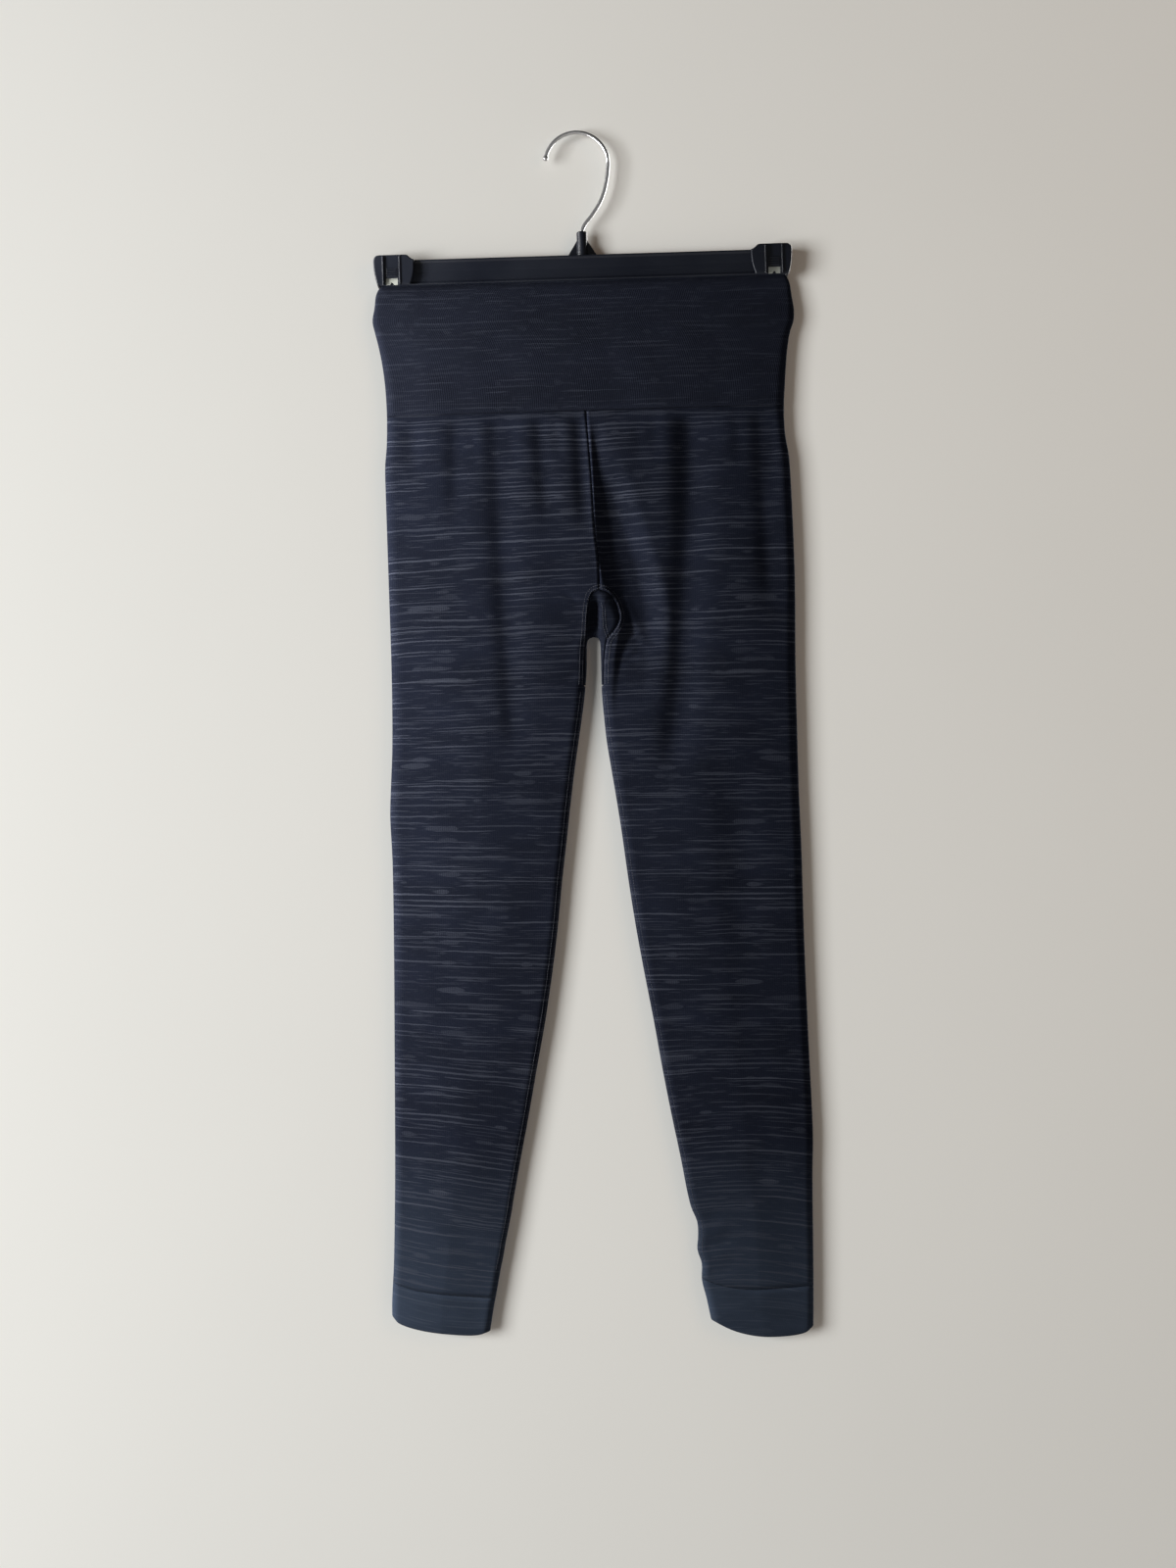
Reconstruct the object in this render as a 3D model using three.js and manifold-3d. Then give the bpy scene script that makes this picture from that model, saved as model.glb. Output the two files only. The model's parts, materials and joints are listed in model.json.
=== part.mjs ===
// Seamless-knit leggings hung by the waistband from a clamp hanger with a wire hook.
// Millimetres, +Z up, +X to the viewer's right, +Y away from the viewer.
// The origin is the inside top of the hook, where a peg or rail holds it.
// Right and left are the wearer's, so the right leg lies at negative X.

import * as THREE from 'three';
import { mergeVertices } from 'three/addons/utils/BufferGeometryUtils.js';
import Module from 'manifold-3d';

const wasm = await Module();
wasm.setup();

// Cloth sizes
const SEAM_GAP = 0.3;
// Extra room at the slanting cuff seams, where the faces on the two sides differ
const CUFF_ROOM = 0.25;
const WALL = { band: 1.5, leg: 1.2, gusset: 1.3, cuff: 1.8 };
const BAND_TOP = -112;
const WAIST_SEAM = -237.6;
const CROTCH = { x: 0.2, z: -431 };
const INSEAM_START = -473.5;
const HANG_STARTS = -860;
const ANKLE_LEVEL = -990;
const HEM_LOWEST = -1036;

// Outer edges of the hanging cloth, front view, and the half depth of the flattened tube
const SIDES = [
  { z: -112, right: -172.6, left: 173.6, half: 1.8, round: 3 },
  { z: -126.4, right: -172.9, left: 174.0, half: 1.8, round: 3 },
  { z: -128.2, right: -175.2, left: 175.4, half: 2.0, round: 3.2 },
  { z: -134, right: -177.6, left: 177.3, half: 2.7, round: 4 },
  { z: -144, right: -179.0, left: 178.6, half: 3.9, round: 5 },
  { z: -155, right: -181.0, left: 180.1, half: 5.2, round: 6 },
  { z: -165, right: -179.2, left: 179.6, half: 5.8, round: 6.6 },
  { z: -176, right: -176.7, left: 176.0, half: 6.1, round: 7.1 },
  { z: -190, right: -174.2, left: 173.4, half: 6.4, round: 7.6 },
  { z: -206, right: -172.3, left: 171.7, half: 6.7, round: 8 },
  { z: -222, right: -171.4, left: 170.3, half: 6.9, round: 8.3 },
  { z: -240, right: -171.2, left: 169.0, half: 7.1, round: 8.5 },
  { z: -262, right: -172.1, left: 169.4, half: 7.4, round: 8.8 },
  { z: -280, right: -174.0, left: 172.0, half: 7.7, round: 9 },
  { z: -300, right: -174.2, left: 173.0, half: 7.9, round: 9 },
  { z: -380, right: -174.0, left: 174.0, half: 8.2, round: 9 },
  { z: -460, right: -173.9, left: 172.3, half: 8.2, round: 9 },
  { z: -520, right: -175.2, left: 171.9, half: 8.1, round: 9 },
  { z: -560, right: -177.8, left: 171.8, half: 8.0, round: 8.8 },
  { z: -580, right: -178.8, left: 172.0, half: 8.0, round: 8.7 },
  { z: -620, right: -178.0, left: 172.5, half: 7.9, round: 8.6 },
  { z: -700, right: -179.2, left: 172.5, half: 7.6, round: 8.3 },
  { z: -780, right: -181.2, left: 173.5, half: 7.2, round: 7.8 },
  { z: -860, right: -183.2, left: 174.9, half: 6.7, round: 7.2 },
  { z: -900, right: -184.5, left: 173.3, half: 6.5, round: 6.9 },
  { z: -960, right: -187.2, left: 172.1, half: 6.3, round: 6.6 },
  { z: -1000, right: -190.0, left: 171.1, half: 6.2, round: 6.5 },
  { z: -1036, right: -189.4, left: 169.8, half: 6.2, round: 6.5 },
];

// Inner edges of the two legs, from the crotch down to the hems
const INNER_EDGES = [
  { z: -431, right: 0.2, left: 0.2 },
  { z: -431.6, right: -2.4, left: 2.8 },
  { z: -433.2, right: -4.4, left: 4.7 },
  { z: -437, right: -5.6, left: 5.6 },
  { z: -444, right: -6.0, left: 5.8 },
  { z: -460, right: -6.7, left: 5.7 },
  { z: -480, right: -8.9, left: 5.7 },
  { z: -500, right: -12.0, left: 6.9 },
  { z: -520, right: -15.4, left: 8.5 },
  { z: -540, right: -18.9, left: 11.2 },
  { z: -560, right: -22.0, left: 14.0 },
  { z: -580, right: -24.9, left: 16.7 },
  { z: -600, right: -27.6, left: 19.2 },
  { z: -640, right: -33.3, left: 23.6 },
  { z: -680, right: -38.3, left: 28.7 },
  { z: -720, right: -44.5, left: 34.8 },
  { z: -760, right: -51.6, left: 41.4 },
  { z: -800, right: -60.0, left: 47.4 },
  { z: -840, right: -68.2, left: 54.0 },
  { z: -880, right: -76.9, left: 61.2 },
  { z: -908, right: -82.7, left: 65.7 },
  { z: -922, right: -85.4, left: 68.8 },
  { z: -934, right: -88.0, left: 73.4 },
  { z: -946, right: -90.8, left: 73.9 },
  { z: -958, right: -93.2, left: 72.9 },
  { z: -970, right: -96.1, left: 76.3 },
  { z: -984, right: -98.9, left: 76.0 },
  { z: -1000, right: -102.4, left: 79.5 },
  { z: -1018, right: -105.8, left: 82.8 },
  { z: -1036, right: -108.5, left: 86.0 },
];

// Centre seams above the gusset
const CENTRE_SEAMS = [
  { z: -237, front: -0.7, back: -1.0 },
  { z: -289, front: 2.1, back: -0.6 },
  { z: -340, front: 3.9, back: 0.2 },
  { z: -368, front: 6.2, back: 1.0 },
  { z: -391, front: 6.2, back: 1.6 },
];

// Outline of the lens-shaped gusset on the front and back of the cloth
const GUSSET_ROWS = [
  { z: -391, frontRight: 6.2, frontLeft: 6.2, backRight: 1.6, backLeft: 1.6 },
  { z: -393, frontRight: 1, frontLeft: 12.2, backRight: -3.6, backLeft: 6.8 },
  { z: -396, frontRight: -1.2, frontLeft: 15.8, backRight: -7, backLeft: 10.2 },
  { z: -400, frontRight: -2.7, frontLeft: 18.6, backRight: -9.4, backLeft: 12.7 },
  { z: -407, frontRight: -4, frontLeft: 21.3, backRight: -11.3, backLeft: 14.7 },
  { z: -416, frontRight: -5, frontLeft: 22.6, backRight: -12.4, backLeft: 15.8 },
  { z: -425, frontRight: -5.7, frontLeft: 18.6, backRight: -12.9, backLeft: 16 },
  { z: -433, frontRight: -6.6, frontLeft: 11.8, backRight: -12.9, backLeft: 15.4 },
  { z: -440, frontRight: -7.6, frontLeft: 9.9, backRight: -12.5, backLeft: 14.2 },
  { z: -447, frontRight: -8.2, frontLeft: 8.8, backRight: -11.9, backLeft: 12.4 },
  { z: -455, frontRight: -8.7, frontLeft: 8, backRight: -11.2, backLeft: 10.4 },
  { z: -464, frontRight: -9.2, frontLeft: 7.5, backRight: -10.5, backLeft: 8.6 },
  { z: -472, frontRight: -9.8, frontLeft: 7.2, backRight: -10.1, backLeft: 7.2 },
];

// Cuff seam and hem heights across each ankle, from the outer side (0) to the inner side (1)
const RIGHT_ANKLE = [
  { across: 0, seam: -977.0, hem: -1006.0 },
  { across: 0.07, seam: -980.4, hem: -1012.2 },
  { across: 0.28, seam: -986.0, hem: -1018.4 },
  { across: 0.57, seam: -989.8, hem: -1022.4 },
  { across: 0.86, seam: -992.6, hem: -1024.2 },
  { across: 1, seam: -993.8, hem: -1021.5 },
];
const LEFT_ANKLE = [
  { across: 0, seam: -991.2, hem: -1025.6 },
  { across: 0.09, seam: -991.5, hem: -1030.6 },
  { across: 0.3, seam: -992.2, hem: -1032.9 },
  { across: 0.57, seam: -992.6, hem: -1032.0 },
  { across: 0.8, seam: -989.4, hem: -1026.9 },
  { across: 1, seam: -982.6, hem: -1017.5 },
];

// Soft folds of the hanging cloth: a depth above 0 sinks in, one below 0 stands out.
// A fold runs from its top to its end, bowed to one side, and a lean above 0 makes
// its left flank in the front view steeper than its right one.
const FRONT_FOLDS = [
  { topX: -149, endX: -150, bow: 0, top: -238, end: -294, width: 8, lean: 0, depth: 1.1 },
  { topX: -112, endX: -116, bow: 0, top: -238, end: -345, width: 9, lean: 0.2, depth: 1.8 },
  { topX: -77, endX: -69, bow: -2, top: -238, end: -540, width: 10, lean: 0.2, depth: 2 },
  { topX: -41, endX: -36, bow: 0, top: -238, end: -345, width: 8, lean: 0.2, depth: 1.8 },
  { topX: -7, endX: -4, bow: 0, top: -238, end: -352, width: 6, lean: 0, depth: 2 },
  { topX: 6, endX: 48, bow: 4, top: -250, end: -462, width: 12.5, lean: -0.25, depth: 4.4 },
  { topX: 58, endX: 66, bow: 0, top: -318, end: -476, width: 9, lean: 0, depth: -1.6 },
  { topX: 56, endX: 57, bow: 0, top: -238, end: -294, width: 8, lean: 0, depth: 1.1 },
  { topX: 88, endX: 62, bow: 5, top: -238, end: -560, width: 14, lean: 0.35, depth: 3.2 },
  { topX: 106, endX: 107, bow: 0, top: -238, end: -294, width: 8, lean: 0, depth: 0.8 },
  { topX: 149, endX: 152, bow: 0, top: -238, end: -420, width: 11, lean: 0.2, depth: 1.6 },
  { topX: 118, endX: 126, bow: 0, top: -520, end: -820, width: 20, lean: 0, depth: 1.2 },
];
const BACK_FOLDS = [
  { topX: -128, endX: -122, bow: 0, top: -238, end: -330, width: 12, lean: 0, depth: 1.4 },
  { topX: -66, endX: -58, bow: 2, top: -238, end: -350, width: 12, lean: -0.2, depth: 1.8 },
  { topX: -24, endX: -30, bow: 0, top: -300, end: -452, width: 12, lean: 0, depth: 2.8 },
  { topX: 26, endX: 34, bow: 0, top: -290, end: -446, width: 12, lean: 0.2, depth: 3 },
  { topX: 70, endX: 76, bow: 2, top: -238, end: -400, width: 12, lean: 0.2, depth: 1.9 },
  { topX: 124, endX: 120, bow: 0, top: -238, end: -340, width: 12, lean: 0, depth: 1.4 },
  { topX: -96, endX: -112, bow: -3, top: -420, end: -700, width: 22, lean: 0, depth: 1.3 },
  { topX: 96, endX: 110, bow: 3, top: -440, end: -720, width: 22, lean: 0, depth: 1.3 },
];
const FOLD_FADE = 46;
// The hollow in the gusset beside its right-hand seam
const GUSSET_HOLLOW = { x: 1, z: -413, halfWidth: 5.5, halfHeight: 18, depth: 5 };

// Heights of the panels' rows of points, and how many columns each stretch has
const RISE_ROWS = [WAIST_SEAM - SEAM_GAP / 2, -250, -266, -286, -310, -336, -360, -376];
const LEG_ROWS = [
  -490, -510, -540, -580, -620, -660, -700, -740, -780, -820, -860, -885, -905, -921, -934, -946,
  -958, -970,
];
const COLUMNS = { seamStrip: 2, front: 13, outerTurn: 4, back: 6 };
// Above 1, the front columns lie closer together near the centre seam, where the folds are
const CROWDING = 1.35;
const SEAM_STRIP = 6;
const BAND_STATIONS = { front: 14, turn: 3 };
const CUFF_STATIONS = { front: 8, turn: 3 };
const CUFF_ROWS = [0, 0.35, 0.7, 1];
const GUSSET_STEPS = 5;
const BAND_ROWS = [
  BAND_TOP, -126.4, -128.2, -134, -144, -155, -165, -178, -196, -216, WAIST_SEAM + SEAM_GAP / 2,
];

// Hanger sizes, measured from its middle plane
const HANGER_CENTRE = 0.5;
const BAR = { top: -104.9, bottom: -126.3, half: 173.2, inside: 2.1, outside: 6.2, hollow: 0.9 };
const BAR_RIM = 1.4;
const CLIP = {
  top: -100.7, bottom: -126.2, inner: 147.3, outer: 178.5, depth: 9.2, bevel: 0.9,
  slotSide: 7.5, slotTop: -103.6, slotEnd: 173.8,
  channelFrom: 156.6, channelTo: 169.8, channelDepth: 0.7, ribWidth: 1.1, ribHeight: 0.5,
};
// The housing's outline from its inner foot over the top, as far out as u from the middle.
// A row with a bend is reached by a curve, the others by a straight line.
const CLIP_OUTLINE = [
  { bendU: 144.2, bendZ: -118, u: 143.9, z: -112 },
  { u: 143.7, z: -105.2 },
  { bendU: 146.6, bendZ: -104.2, u: 148.4, z: -102.1 },
  { bendU: 149.6, bendZ: -100.7, u: 152, z: -100.7 },
  { u: 173.3, z: -100.7 },
  { bendU: 178.5, bendZ: -100.7, u: 178.5, z: -106.1 },
  { bendU: 178.6, bendZ: -116, u: 175.6, z: -126.2 },
];
const SPRING = { from: 158.2, to: 168.1, side: 7.2, thick: 0.7, top: -103.9, bottom: -126, notch: 2.4 };
const NECK = { radius: 4.5, top: -84, boreRadius: 2.1, boreBottom: -95.5, webFoot: 13.8, webTop: -91 };
const WEB = { from: -0.4, to: 3.2, foot: -106.4 };
const LEDGE = { half: 60, thick: 3.4 };
const PRESS_LINES = { count: 4, top: -112.4, pitch: 1.9, height: 0.8 };
const WINDOW_TOP = -120.6;
const HOOK = { wire: 1.6, radius: 27, centreX: -2.2, tipAngle: 168, sideAngle: -8, ball: 2.3 };
// Below its round top the wire runs through these points into the neck
const HOOK_NECK = [
  { x: 23.4, z: -38 },
  { x: 20.8, z: -49 },
  { x: 16.2, z: -60 },
  { x: 9.4, z: -70 },
  { x: 3.2, z: -77.6 },
  { x: 0.6, z: -83.4 },
  { x: 0.5, z: -87 },
  { x: 0.5, z: -94.6 },
];

const MATERIALS = {
  band: { color: 0x232733, roughness: 0.92, metalness: 0 },
  knit: { color: 0x1f232d, roughness: 0.92, metalness: 0 },
  cuff: { color: 0x262b37, roughness: 0.92, metalness: 0 },
  plastic: { color: 0x14161b, roughness: 0.38, metalness: 0 },
  steel: { color: 0xb4b8b0, roughness: 0.35, metalness: 1 },
  chrome: { color: 0xc4c6c8, roughness: 0.12, metalness: 1 },
};

// Reads a table's column at a height or a share across, along a smooth curve through its rows
function read(table, column, at, key = 'z') {
  const rising = table[table.length - 1][key] > table[0][key];
  const past = (row) => (rising ? row[key] >= at : row[key] <= at);
  const found = table.findIndex(past);
  if (found === 0) return table[0][column];
  if (found < 0) return table[table.length - 1][column];
  const slope = (k) => {
    const a = table[Math.max(k - 1, 0)];
    const b = table[Math.min(k + 1, table.length - 1)];
    return (b[column] - a[column]) / (b[key] - a[key]);
  };
  const low = table[found - 1];
  const high = table[found];
  const span = high[key] - low[key];
  const t = (at - low[key]) / span;
  const rise = 3 * t ** 2 - 2 * t ** 3;
  const leaving = (t ** 3 - 2 * t ** 2 + t) * span * slope(found - 1);
  const reaching = (t ** 3 - t ** 2) * span * slope(found);
  return mix(low[column], high[column], rise) + leaving + reaching;
}

const mix = (a, b, t) => a + (b - a) * t;
const ease = (t) => {
  const s = Math.min(Math.max(t, 0), 1);
  return s * s * (3 - 2 * s);
};

// Steps down the notch's edges: short round the crotch, longer beside the legs
function notchStep(z) {
  if (z > CROTCH.z - 3) return 0.5;
  return z > INSEAM_START ? 1.5 : 12;
}

// The crotch notch as a line of points, from the right hem over the crotch to the left hem
function notchLine() {
  const heights = [];
  for (let z = CROTCH.z; z > HEM_LOWEST; z -= notchStep(z)) heights.push(z);
  const right = heights.map((z) => [read(INNER_EDGES, 'right', z), z]).reverse();
  const left = heights.slice(1).map((z) => [read(INNER_EDGES, 'left', z), z]);
  return [...right, ...left];
}
const NOTCH = notchLine();
// A point this near to the notch's line counts as lying on it
const ON_LINE = 0.05;

// Distance from a point of the front view to the notch, with the direction into the cloth.
// The cloth lies to the left all along the line, and the distance is below 0 to its right.
function awayFromNotch(x, z) {
  let best = { far: Infinity };
  for (let k = 0; k + 1 < NOTCH.length; k += 1) {
    const [ax, az] = NOTCH[k];
    const [runX, runZ] = [NOTCH[k + 1][0] - ax, NOTCH[k + 1][1] - az];
    const length2 = runX ** 2 + runZ ** 2;
    const t = Math.min(Math.max(((x - ax) * runX + (z - az) * runZ) / length2, 0), 1);
    const offX = x - ax - t * runX;
    const offZ = z - az - t * runZ;
    const far = Math.hypot(offX, offZ);
    if (far < best.far) best = { far, offX, offZ, runX, runZ };
  }
  const { far, offX, offZ, runX, runZ } = best;
  const side = offZ * runX - offX * runZ < 0 ? -1 : 1;
  if (far > ON_LINE) return { d: side * far, gx: (side * offX) / far, gz: (side * offZ) / far };
  const length = Math.hypot(runX, runZ);
  return { d: side * far, gx: -runZ / length, gz: runX / length };
}

// How far the point lies inside the cloth's outline, and the direction in from it
function insideOutline(x, z) {
  const fromRight = x - read(SIDES, 'right', z);
  const fromLeft = read(SIDES, 'left', z) - x;
  const side = fromRight < fromLeft ? { d: fromRight, gx: 1, gz: 0 } : { d: fromLeft, gx: -1, gz: 0 };
  if (z > CROTCH.z + 30) return side;
  const notch = awayFromNotch(x, z);
  return notch.d < side.d ? notch : side;
}

function foldDepth(x, z, folds) {
  let depth = 0;
  for (const fold of folds) {
    const along = (z - fold.top) / (fold.end - fold.top);
    if (along <= 0 || along >= 1) continue;
    const length = fold.top - fold.end;
    const fade = Math.min(FOLD_FADE, length / 2);
    const window = ease((along * length) / fade) * ease(((1 - along) * length) / fade);
    const off = x - mix(fold.topX, fold.endX, along) - fold.bow * 4 * along * (1 - along);
    const width = fold.width * (1 + Math.sign(off) * fold.lean);
    depth += fold.depth * window * Math.exp(-((off / width) ** 2));
  }
  return depth;
}

// Outer and inner points of the cloth at a place in the front view, on the front or back layer.
// The two layers stay apart by a seam's gap where they meet at the outline.
function clothPoint(x, z, layer, wall, dent = 0) {
  const { d, gx, gz } = insideOutline(x, z);
  const half = read(SIDES, 'half', z);
  const round = read(SIDES, 'round', z);
  const turn = Math.acos(1 - Math.min(Math.max(d, 0) / round, 1));
  const flat = Math.sin(turn);
  const front = layer < 0;
  const sink = foldDepth(x, z, front ? FRONT_FOLDS : BACK_FOLDS) + dent;
  const y = layer * Math.max(flat * (half - sink), SEAM_GAP / 2);
  const inward = wall * Math.cos(turn);
  return {
    outer: new THREE.Vector3(x, y, z),
    inner: new THREE.Vector3(x + gx * inward, y - layer * flat * wall, z + gz * inward),
  };
}

// A closed wall between a grid of outer points and the same grid of inner points.
// A loop joins its last column to its first.
function wallMesh(grid, loop) {
  const rows = grid.length;
  const columns = grid[0].length;
  const points = [];
  for (const side of ['outer', 'inner']) {
    for (const row of grid) {
      for (const point of row) points.push(point[side]);
    }
  }
  const at = (side, i, j) => side * rows * columns + i * columns + (j % columns);
  const faces = [];
  const quad = (a, b, c, d) => faces.push(a, b, c, a, c, d);
  const lastColumn = loop ? columns : columns - 1;
  for (let i = 0; i + 1 < rows; i += 1) {
    for (let j = 0; j < lastColumn; j += 1) {
      quad(at(0, i, j), at(0, i, j + 1), at(0, i + 1, j + 1), at(0, i + 1, j));
      quad(at(1, i, j), at(1, i + 1, j), at(1, i + 1, j + 1), at(1, i, j + 1));
    }
  }
  for (let j = 0; j < lastColumn; j += 1) {
    quad(at(0, 0, j), at(1, 0, j), at(1, 0, j + 1), at(0, 0, j + 1));
    quad(at(0, rows - 1, j), at(0, rows - 1, j + 1), at(1, rows - 1, j + 1), at(1, rows - 1, j));
  }
  for (let i = 0; !loop && i + 1 < rows; i += 1) {
    quad(at(0, i, 0), at(0, i + 1, 0), at(1, i + 1, 0), at(1, i, 0));
    quad(at(0, i, columns - 1), at(1, i, columns - 1), at(1, i + 1, columns - 1), at(0, i + 1, columns - 1));
  }
  return facingOut(points, faces);
}

// A geometry whose faces point out, whichever way they were listed
function facingOut(points, faces) {
  let volume = 0;
  for (let k = 0; k < faces.length; k += 3) {
    const [a, b, c] = [points[faces[k]], points[faces[k + 1]], points[faces[k + 2]]];
    volume += a.dot(b.clone().cross(c)) / 6;
  }
  if (volume < 0) faces.reverse();
  const geometry = new THREE.BufferGeometry();
  geometry.setAttribute('position', new THREE.Float32BufferAttribute(points.flatMap((p) => p.toArray()), 3));
  geometry.setIndex(faces);
  return geometry;
}

// Stations once round a flattened tube: front from right to left, turn, back, turn
function roundStations(frontCount, turnCount) {
  const stations = [];
  for (let k = 0; k <= frontCount; k += 1) stations.push({ layer: -1, edge: 'face', share: k / frontCount });
  for (let k = 1; k < 2 * turnCount; k += 1) {
    const turn = Math.PI / 2 - (k * Math.PI) / (2 * turnCount);
    stations.push({ layer: turn > 0 ? -1 : 1, edge: 'left', turn: Math.abs(turn) });
  }
  for (let k = frontCount; k >= 0; k -= 1) stations.push({ layer: 1, edge: 'face', share: k / frontCount });
  for (let k = 1; k < 2 * turnCount; k += 1) {
    const turn = Math.PI / 2 - (k * Math.PI) / (2 * turnCount);
    stations.push({ layer: turn > 0 ? 1 : -1, edge: 'right', turn: Math.abs(turn) });
  }
  return stations;
}

// The front-view X of a station between two edges
function stationX(station, right, left, round) {
  const inset = round * (1 - Math.cos(station.turn ?? Math.PI / 2));
  if (station.edge === 'right') return right + Math.max(inset, 1e-4);
  if (station.edge === 'left') return left - Math.max(inset, 1e-4);
  return mix(right + round, left - round, station.share);
}

function waistband() {
  const stations = roundStations(BAND_STATIONS.front, BAND_STATIONS.turn);
  const grid = BAND_ROWS.map((z) => {
    const [right, left, round] = ['right', 'left', 'round'].map((column) => read(SIDES, column, z));
    return stations.map((s) => clothPoint(stationX(s, right, left, round), z, s.layer, WALL.band));
  });
  return wallMesh(grid, true);
}

// Edges of one leg at a height: the outer one from the sides, the inner one from the notch
function legEdges(leg, z) {
  return leg === 'right'
    ? { right: read(SIDES, 'right', z), left: read(INNER_EDGES, 'right', z) }
    : { right: read(INNER_EDGES, 'left', z), left: read(SIDES, 'left', z) };
}

// The share of the way from the outer side of a leg to its inner side
function shareAcross(leg, x, z) {
  const { right, left } = legEdges(leg, z);
  const share = (x - right) / (left - right);
  return leg === 'right' ? share : 1 - share;
}

const ankleOf = (leg) => (leg === 'right' ? RIGHT_ANKLE : LEFT_ANKLE);

function cuff(leg) {
  const stations = roundStations(CUFF_STATIONS.front, CUFF_STATIONS.turn);
  const ankle = ankleOf(leg);
  const grid = CUFF_ROWS.map((down) => stations.map((s) => {
    const xAt = (z) => {
      const { right, left } = legEdges(leg, z);
      return stationX(s, right, left, read(SIDES, 'round', z));
    };
    let z = ANKLE_LEVEL;
    for (let pass = 0; pass < 3; pass += 1) {
      const across = Math.min(Math.max(shareAcross(leg, xAt(z), z), 0), 1);
      const seam = read(ankle, 'seam', across, 'across') - SEAM_GAP / 2 - CUFF_ROOM;
      z = mix(seam, read(ankle, 'hem', across, 'across'), down);
    }
    return clothPoint(xAt(z), z, s.layer, WALL.cuff);
  }));
  return wallMesh(grid, true);
}

// Where a leg panel's front and back edges lie at a height above the inseam
function panelEdge(leg, layer, z) {
  const outward = leg === 'right' ? -1 : 1;
  const name = (layer < 0 ? 'front' : 'back') + (leg === 'right' ? 'Right' : 'Left');
  const seam = z > GUSSET_ROWS[0].z
    ? read(CENTRE_SEAMS, layer < 0 ? 'front' : 'back', z)
    : GUSSET_ROWS.find((row) => row.z === z)[name];
  return seam + (outward * SEAM_GAP) / 2;
}

// One row of a leg panel, from its front edge round the outer side to its back edge
function panelRow(leg, rowZ, down) {
  const inward = leg === 'right' ? 1 : -1;
  const outerEdge = leg === 'right' ? 'right' : 'left';
  const atInseam = rowZ <= INSEAM_START;
  const ankle = ankleOf(leg);
  const row = [];
  const place = (layer, xAt) => {
    let z = rowZ;
    let x = xAt(z);
    for (let pass = 0; down !== undefined && pass < 3; pass += 1) {
      const across = Math.min(Math.max(shareAcross(leg, x, z), 0), 1);
      z = mix(HANG_STARTS, read(ankle, 'seam', across, 'across') + SEAM_GAP / 2, down);
      x = xAt(z);
    }
    row.push(clothPoint(x, z, layer, WALL.leg));
  };
  const outer = (z) => read(SIDES, outerEdge, z);
  const round = (z) => read(SIDES, 'round', z);
  const half = read(SIDES, 'half', rowZ);
  const firstTurn = Math.asin(SEAM_GAP / 2 / half);
  const strip = (layer, share) => {
    if (!atInseam) return (z) => panelEdge(leg, layer, z) - inward * SEAM_STRIP * share;
    const inset = 1 - Math.cos(mix(firstTurn, Math.PI / 2, share));
    return (z) => read(INNER_EDGES, leg, z) - inward * round(z) * inset;
  };
  for (let k = 0; k < COLUMNS.seamStrip; k += 1) place(-1, strip(-1, k / COLUMNS.seamStrip));
  for (let k = 0; k < COLUMNS.front; k += 1) {
    const share = (k / COLUMNS.front) ** CROWDING;
    place(-1, (z) => mix(strip(-1, 1)(z), outer(z) + inward * round(z), share));
  }
  for (let k = 0; k <= COLUMNS.outerTurn; k += 1) {
    const turn = Math.PI / 2 - (k * Math.PI) / COLUMNS.outerTurn;
    const inset = Math.max(1 - Math.cos(turn), 1e-5);
    place(turn >= 0 ? -1 : 1, (z) => outer(z) + inward * round(z) * inset);
  }
  for (let k = COLUMNS.back - 1; k >= 0; k -= 1) {
    place(1, (z) => mix(strip(1, 1)(z), outer(z) + inward * round(z), k / COLUMNS.back));
  }
  for (let k = COLUMNS.seamStrip - 1; k >= 0; k -= 1) place(1, strip(1, k / COLUMNS.seamStrip));
  return row;
}

function legPanel(leg) {
  const grid = [...RISE_ROWS, ...GUSSET_ROWS.map((row) => row.z), INSEAM_START].map((z) => panelRow(leg, z));
  for (const z of [...LEG_ROWS, ANKLE_LEVEL]) {
    const down = z < HANG_STARTS ? (z - HANG_STARTS) / (ANKLE_LEVEL - HANG_STARTS) : undefined;
    grid.push(panelRow(leg, z, down));
  }
  return wallMesh(grid, false);
}

// Outline of the gusset on one layer, from its right corner over the top to its left corner
function gussetOutline(name) {
  const right = GUSSET_ROWS.map((row) => [row[`${name}Right`], row.z]).reverse();
  const left = GUSSET_ROWS.slice(1).map((row) => [row[`${name}Left`], row.z]);
  const line = [...right, ...left];
  return line.map(([x, z], k) => {
    const [ax, az] = line[Math.max(k - 1, 0)];
    const [bx, bz] = line[Math.min(k + 1, line.length - 1)];
    const length = Math.hypot(bx - ax, bz - az);
    const clear = SEAM_GAP * 1.2;
    return [x + ((bz - az) / length) * clear, z - ((bx - ax) / length) * clear];
  });
}

// The notch's edge opposite each point of the gusset's outline
function notchFacing(outline) {
  const middle = (outline.length - 1) / 2;
  return outline.map(([, z], k) => {
    const share = Math.abs(k - middle) / middle;
    const level = mix(CROTCH.z, z, share ** 1.6);
    const edge = k < middle ? 'right' : 'left';
    return [k === middle ? CROTCH.x : read(INNER_EDGES, edge, Math.min(level, CROTCH.z)), level];
  });
}

function gussetDent(x, z) {
  const offX = (x - GUSSET_HOLLOW.x) / GUSSET_HOLLOW.halfWidth;
  const offZ = (z - GUSSET_HOLLOW.z) / GUSSET_HOLLOW.halfHeight;
  return GUSSET_HOLLOW.depth * Math.exp(-offX * offX - offZ ** 4);
}

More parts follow.
